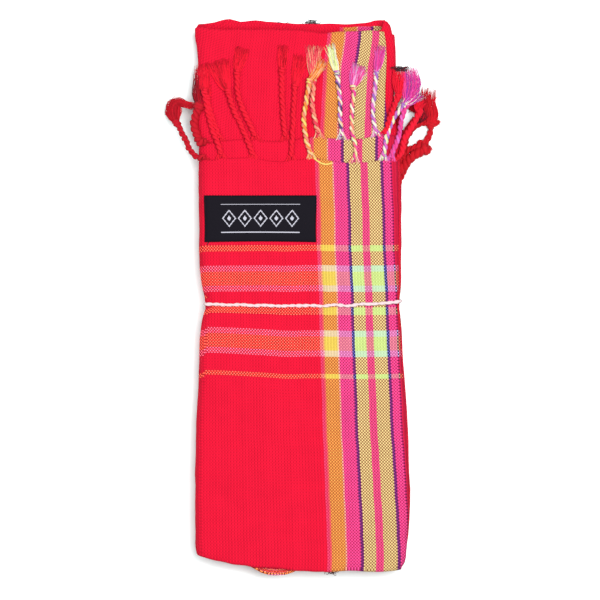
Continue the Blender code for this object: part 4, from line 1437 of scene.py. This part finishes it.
# The ribs give the ribbon its relief, and also paint light on each rib and shade between them.
ribs = abs(ribbon_v.wave(RIBBON_THREAD))
ribbon_colour = ribbon.blend(ornament * PALE_SHARE, (*RIBBON_INK, 1.0), (*PALE_THREAD, 1.0))
ribbon_finish = ribbon.finish(ribbon.scaled(ribbon_colour, RIBBON_LIGHT + ribs * RIBBON_RIB_LIGHT), ribs,
                              RIBBON_RELIEF, RIBBON_STRENGTH)
woven_label.data.materials.append(ribbon_finish)
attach(woven_label, "root")
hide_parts("label")

# The string is soft two-ply cotton twine, uneven and barely twisted, tied round the waist of the
# parcel in a single loop
TWINE_RADIUS = 0.96 * MM
TWINE_OFFSET = 0.42 * MM
TWINE_PITCH = 11.0 * MM
TWINE_UNEVEN = 0.4
STRING_RADIUS = 1.15 * MM
STRING_CORNER = 3.2 * MM
CORNER_STEPS = 6
WANDER = 0.9 * MM
WANDER_ACROSS = 11 * MM
WANDER_UP = 14 * MM
TWINE_CREAM = dye(255, 227, 230)
STRING_PRESS = 0.1 * MM
STRING_BELOW = 0.2 * MM
STRING_BEDDED = 0.9
left = edge_left(0.0) - STRING_RADIUS + STRING_PRESS
right = edge_right(0.0) + STRING_RADIUS - STRING_PRESS
low = STRING_RADIUS + STRING_BELOW
high = layer_z(0, FRONT_OUTER, 0.0) + COTTON / 2 + STRING_RADIUS
loop_stops = []
for corner, (side, level) in enumerate(((right, high), (left, high), (left, low), (right, low))):
    x = side - STRING_CORNER if side == right else side + STRING_CORNER
    z = level - STRING_CORNER if level == high else level + STRING_CORNER
    for turn in range(CORNER_STEPS + 1):
        angle = math.radians(90 * corner + 90 * turn / CORNER_STEPS)
        loop_stops.append((x + STRING_CORNER * math.cos(angle), z + STRING_CORNER * math.sin(angle)))
loop_stops.append(loop_stops[0])
loop_route = []
for (x, z), (next_x, next_z) in zip(loop_stops, loop_stops[1:]):
    count = max(1, round(math.hypot(next_x - x, next_z - z) / STEP))
    for place in range(count):
        here_x = mix(x, next_x, place / count)
        here_z = mix(z, next_z, place / count)
        across = between(here_x, right, left)
        if here_z > high - STRING_PRESS:
            here_z = max(here_z, cloth_top(here_x, string_line(across)) + STRING_RADIUS * STRING_BEDDED)
        wander = WANDER * noise.noise(Vector((here_x / WANDER_ACROSS, here_z / WANDER_UP, 5.0)))
        loop_route.append(Vector((here_x, string_line(across) + wander, here_z)))
twine = Spinning()
total = len(loop_route)
turns = round(total * STEP / TWINE_PITCH)
for ply in range(2):
    path = []
    for place in range(total + 1):
        spot = loop_route[place % total]
        ahead = (loop_route[(place + 1) % total] - loop_route[(place - 1) % total]).normalized()
        side = Vector((0, 1, 0))
        up = ahead.cross(side).normalized()
        angle = 2 * math.pi * turns * place / total + ply * math.pi
        path.append(spot + around(side, up, angle) * TWINE_OFFSET)
    radii = [TWINE_RADIUS * (1 + TWINE_UNEVEN * noise.noise(spot / WANDER_SIZE)) for spot in path]
    twine.tube(path, radii, PLY_SIDES, (TWINE_CREAM,), PLY_YARNS)
twine_string = twine.make("twine_string", spun_finish)
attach(twine_string, "root")
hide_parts("string")
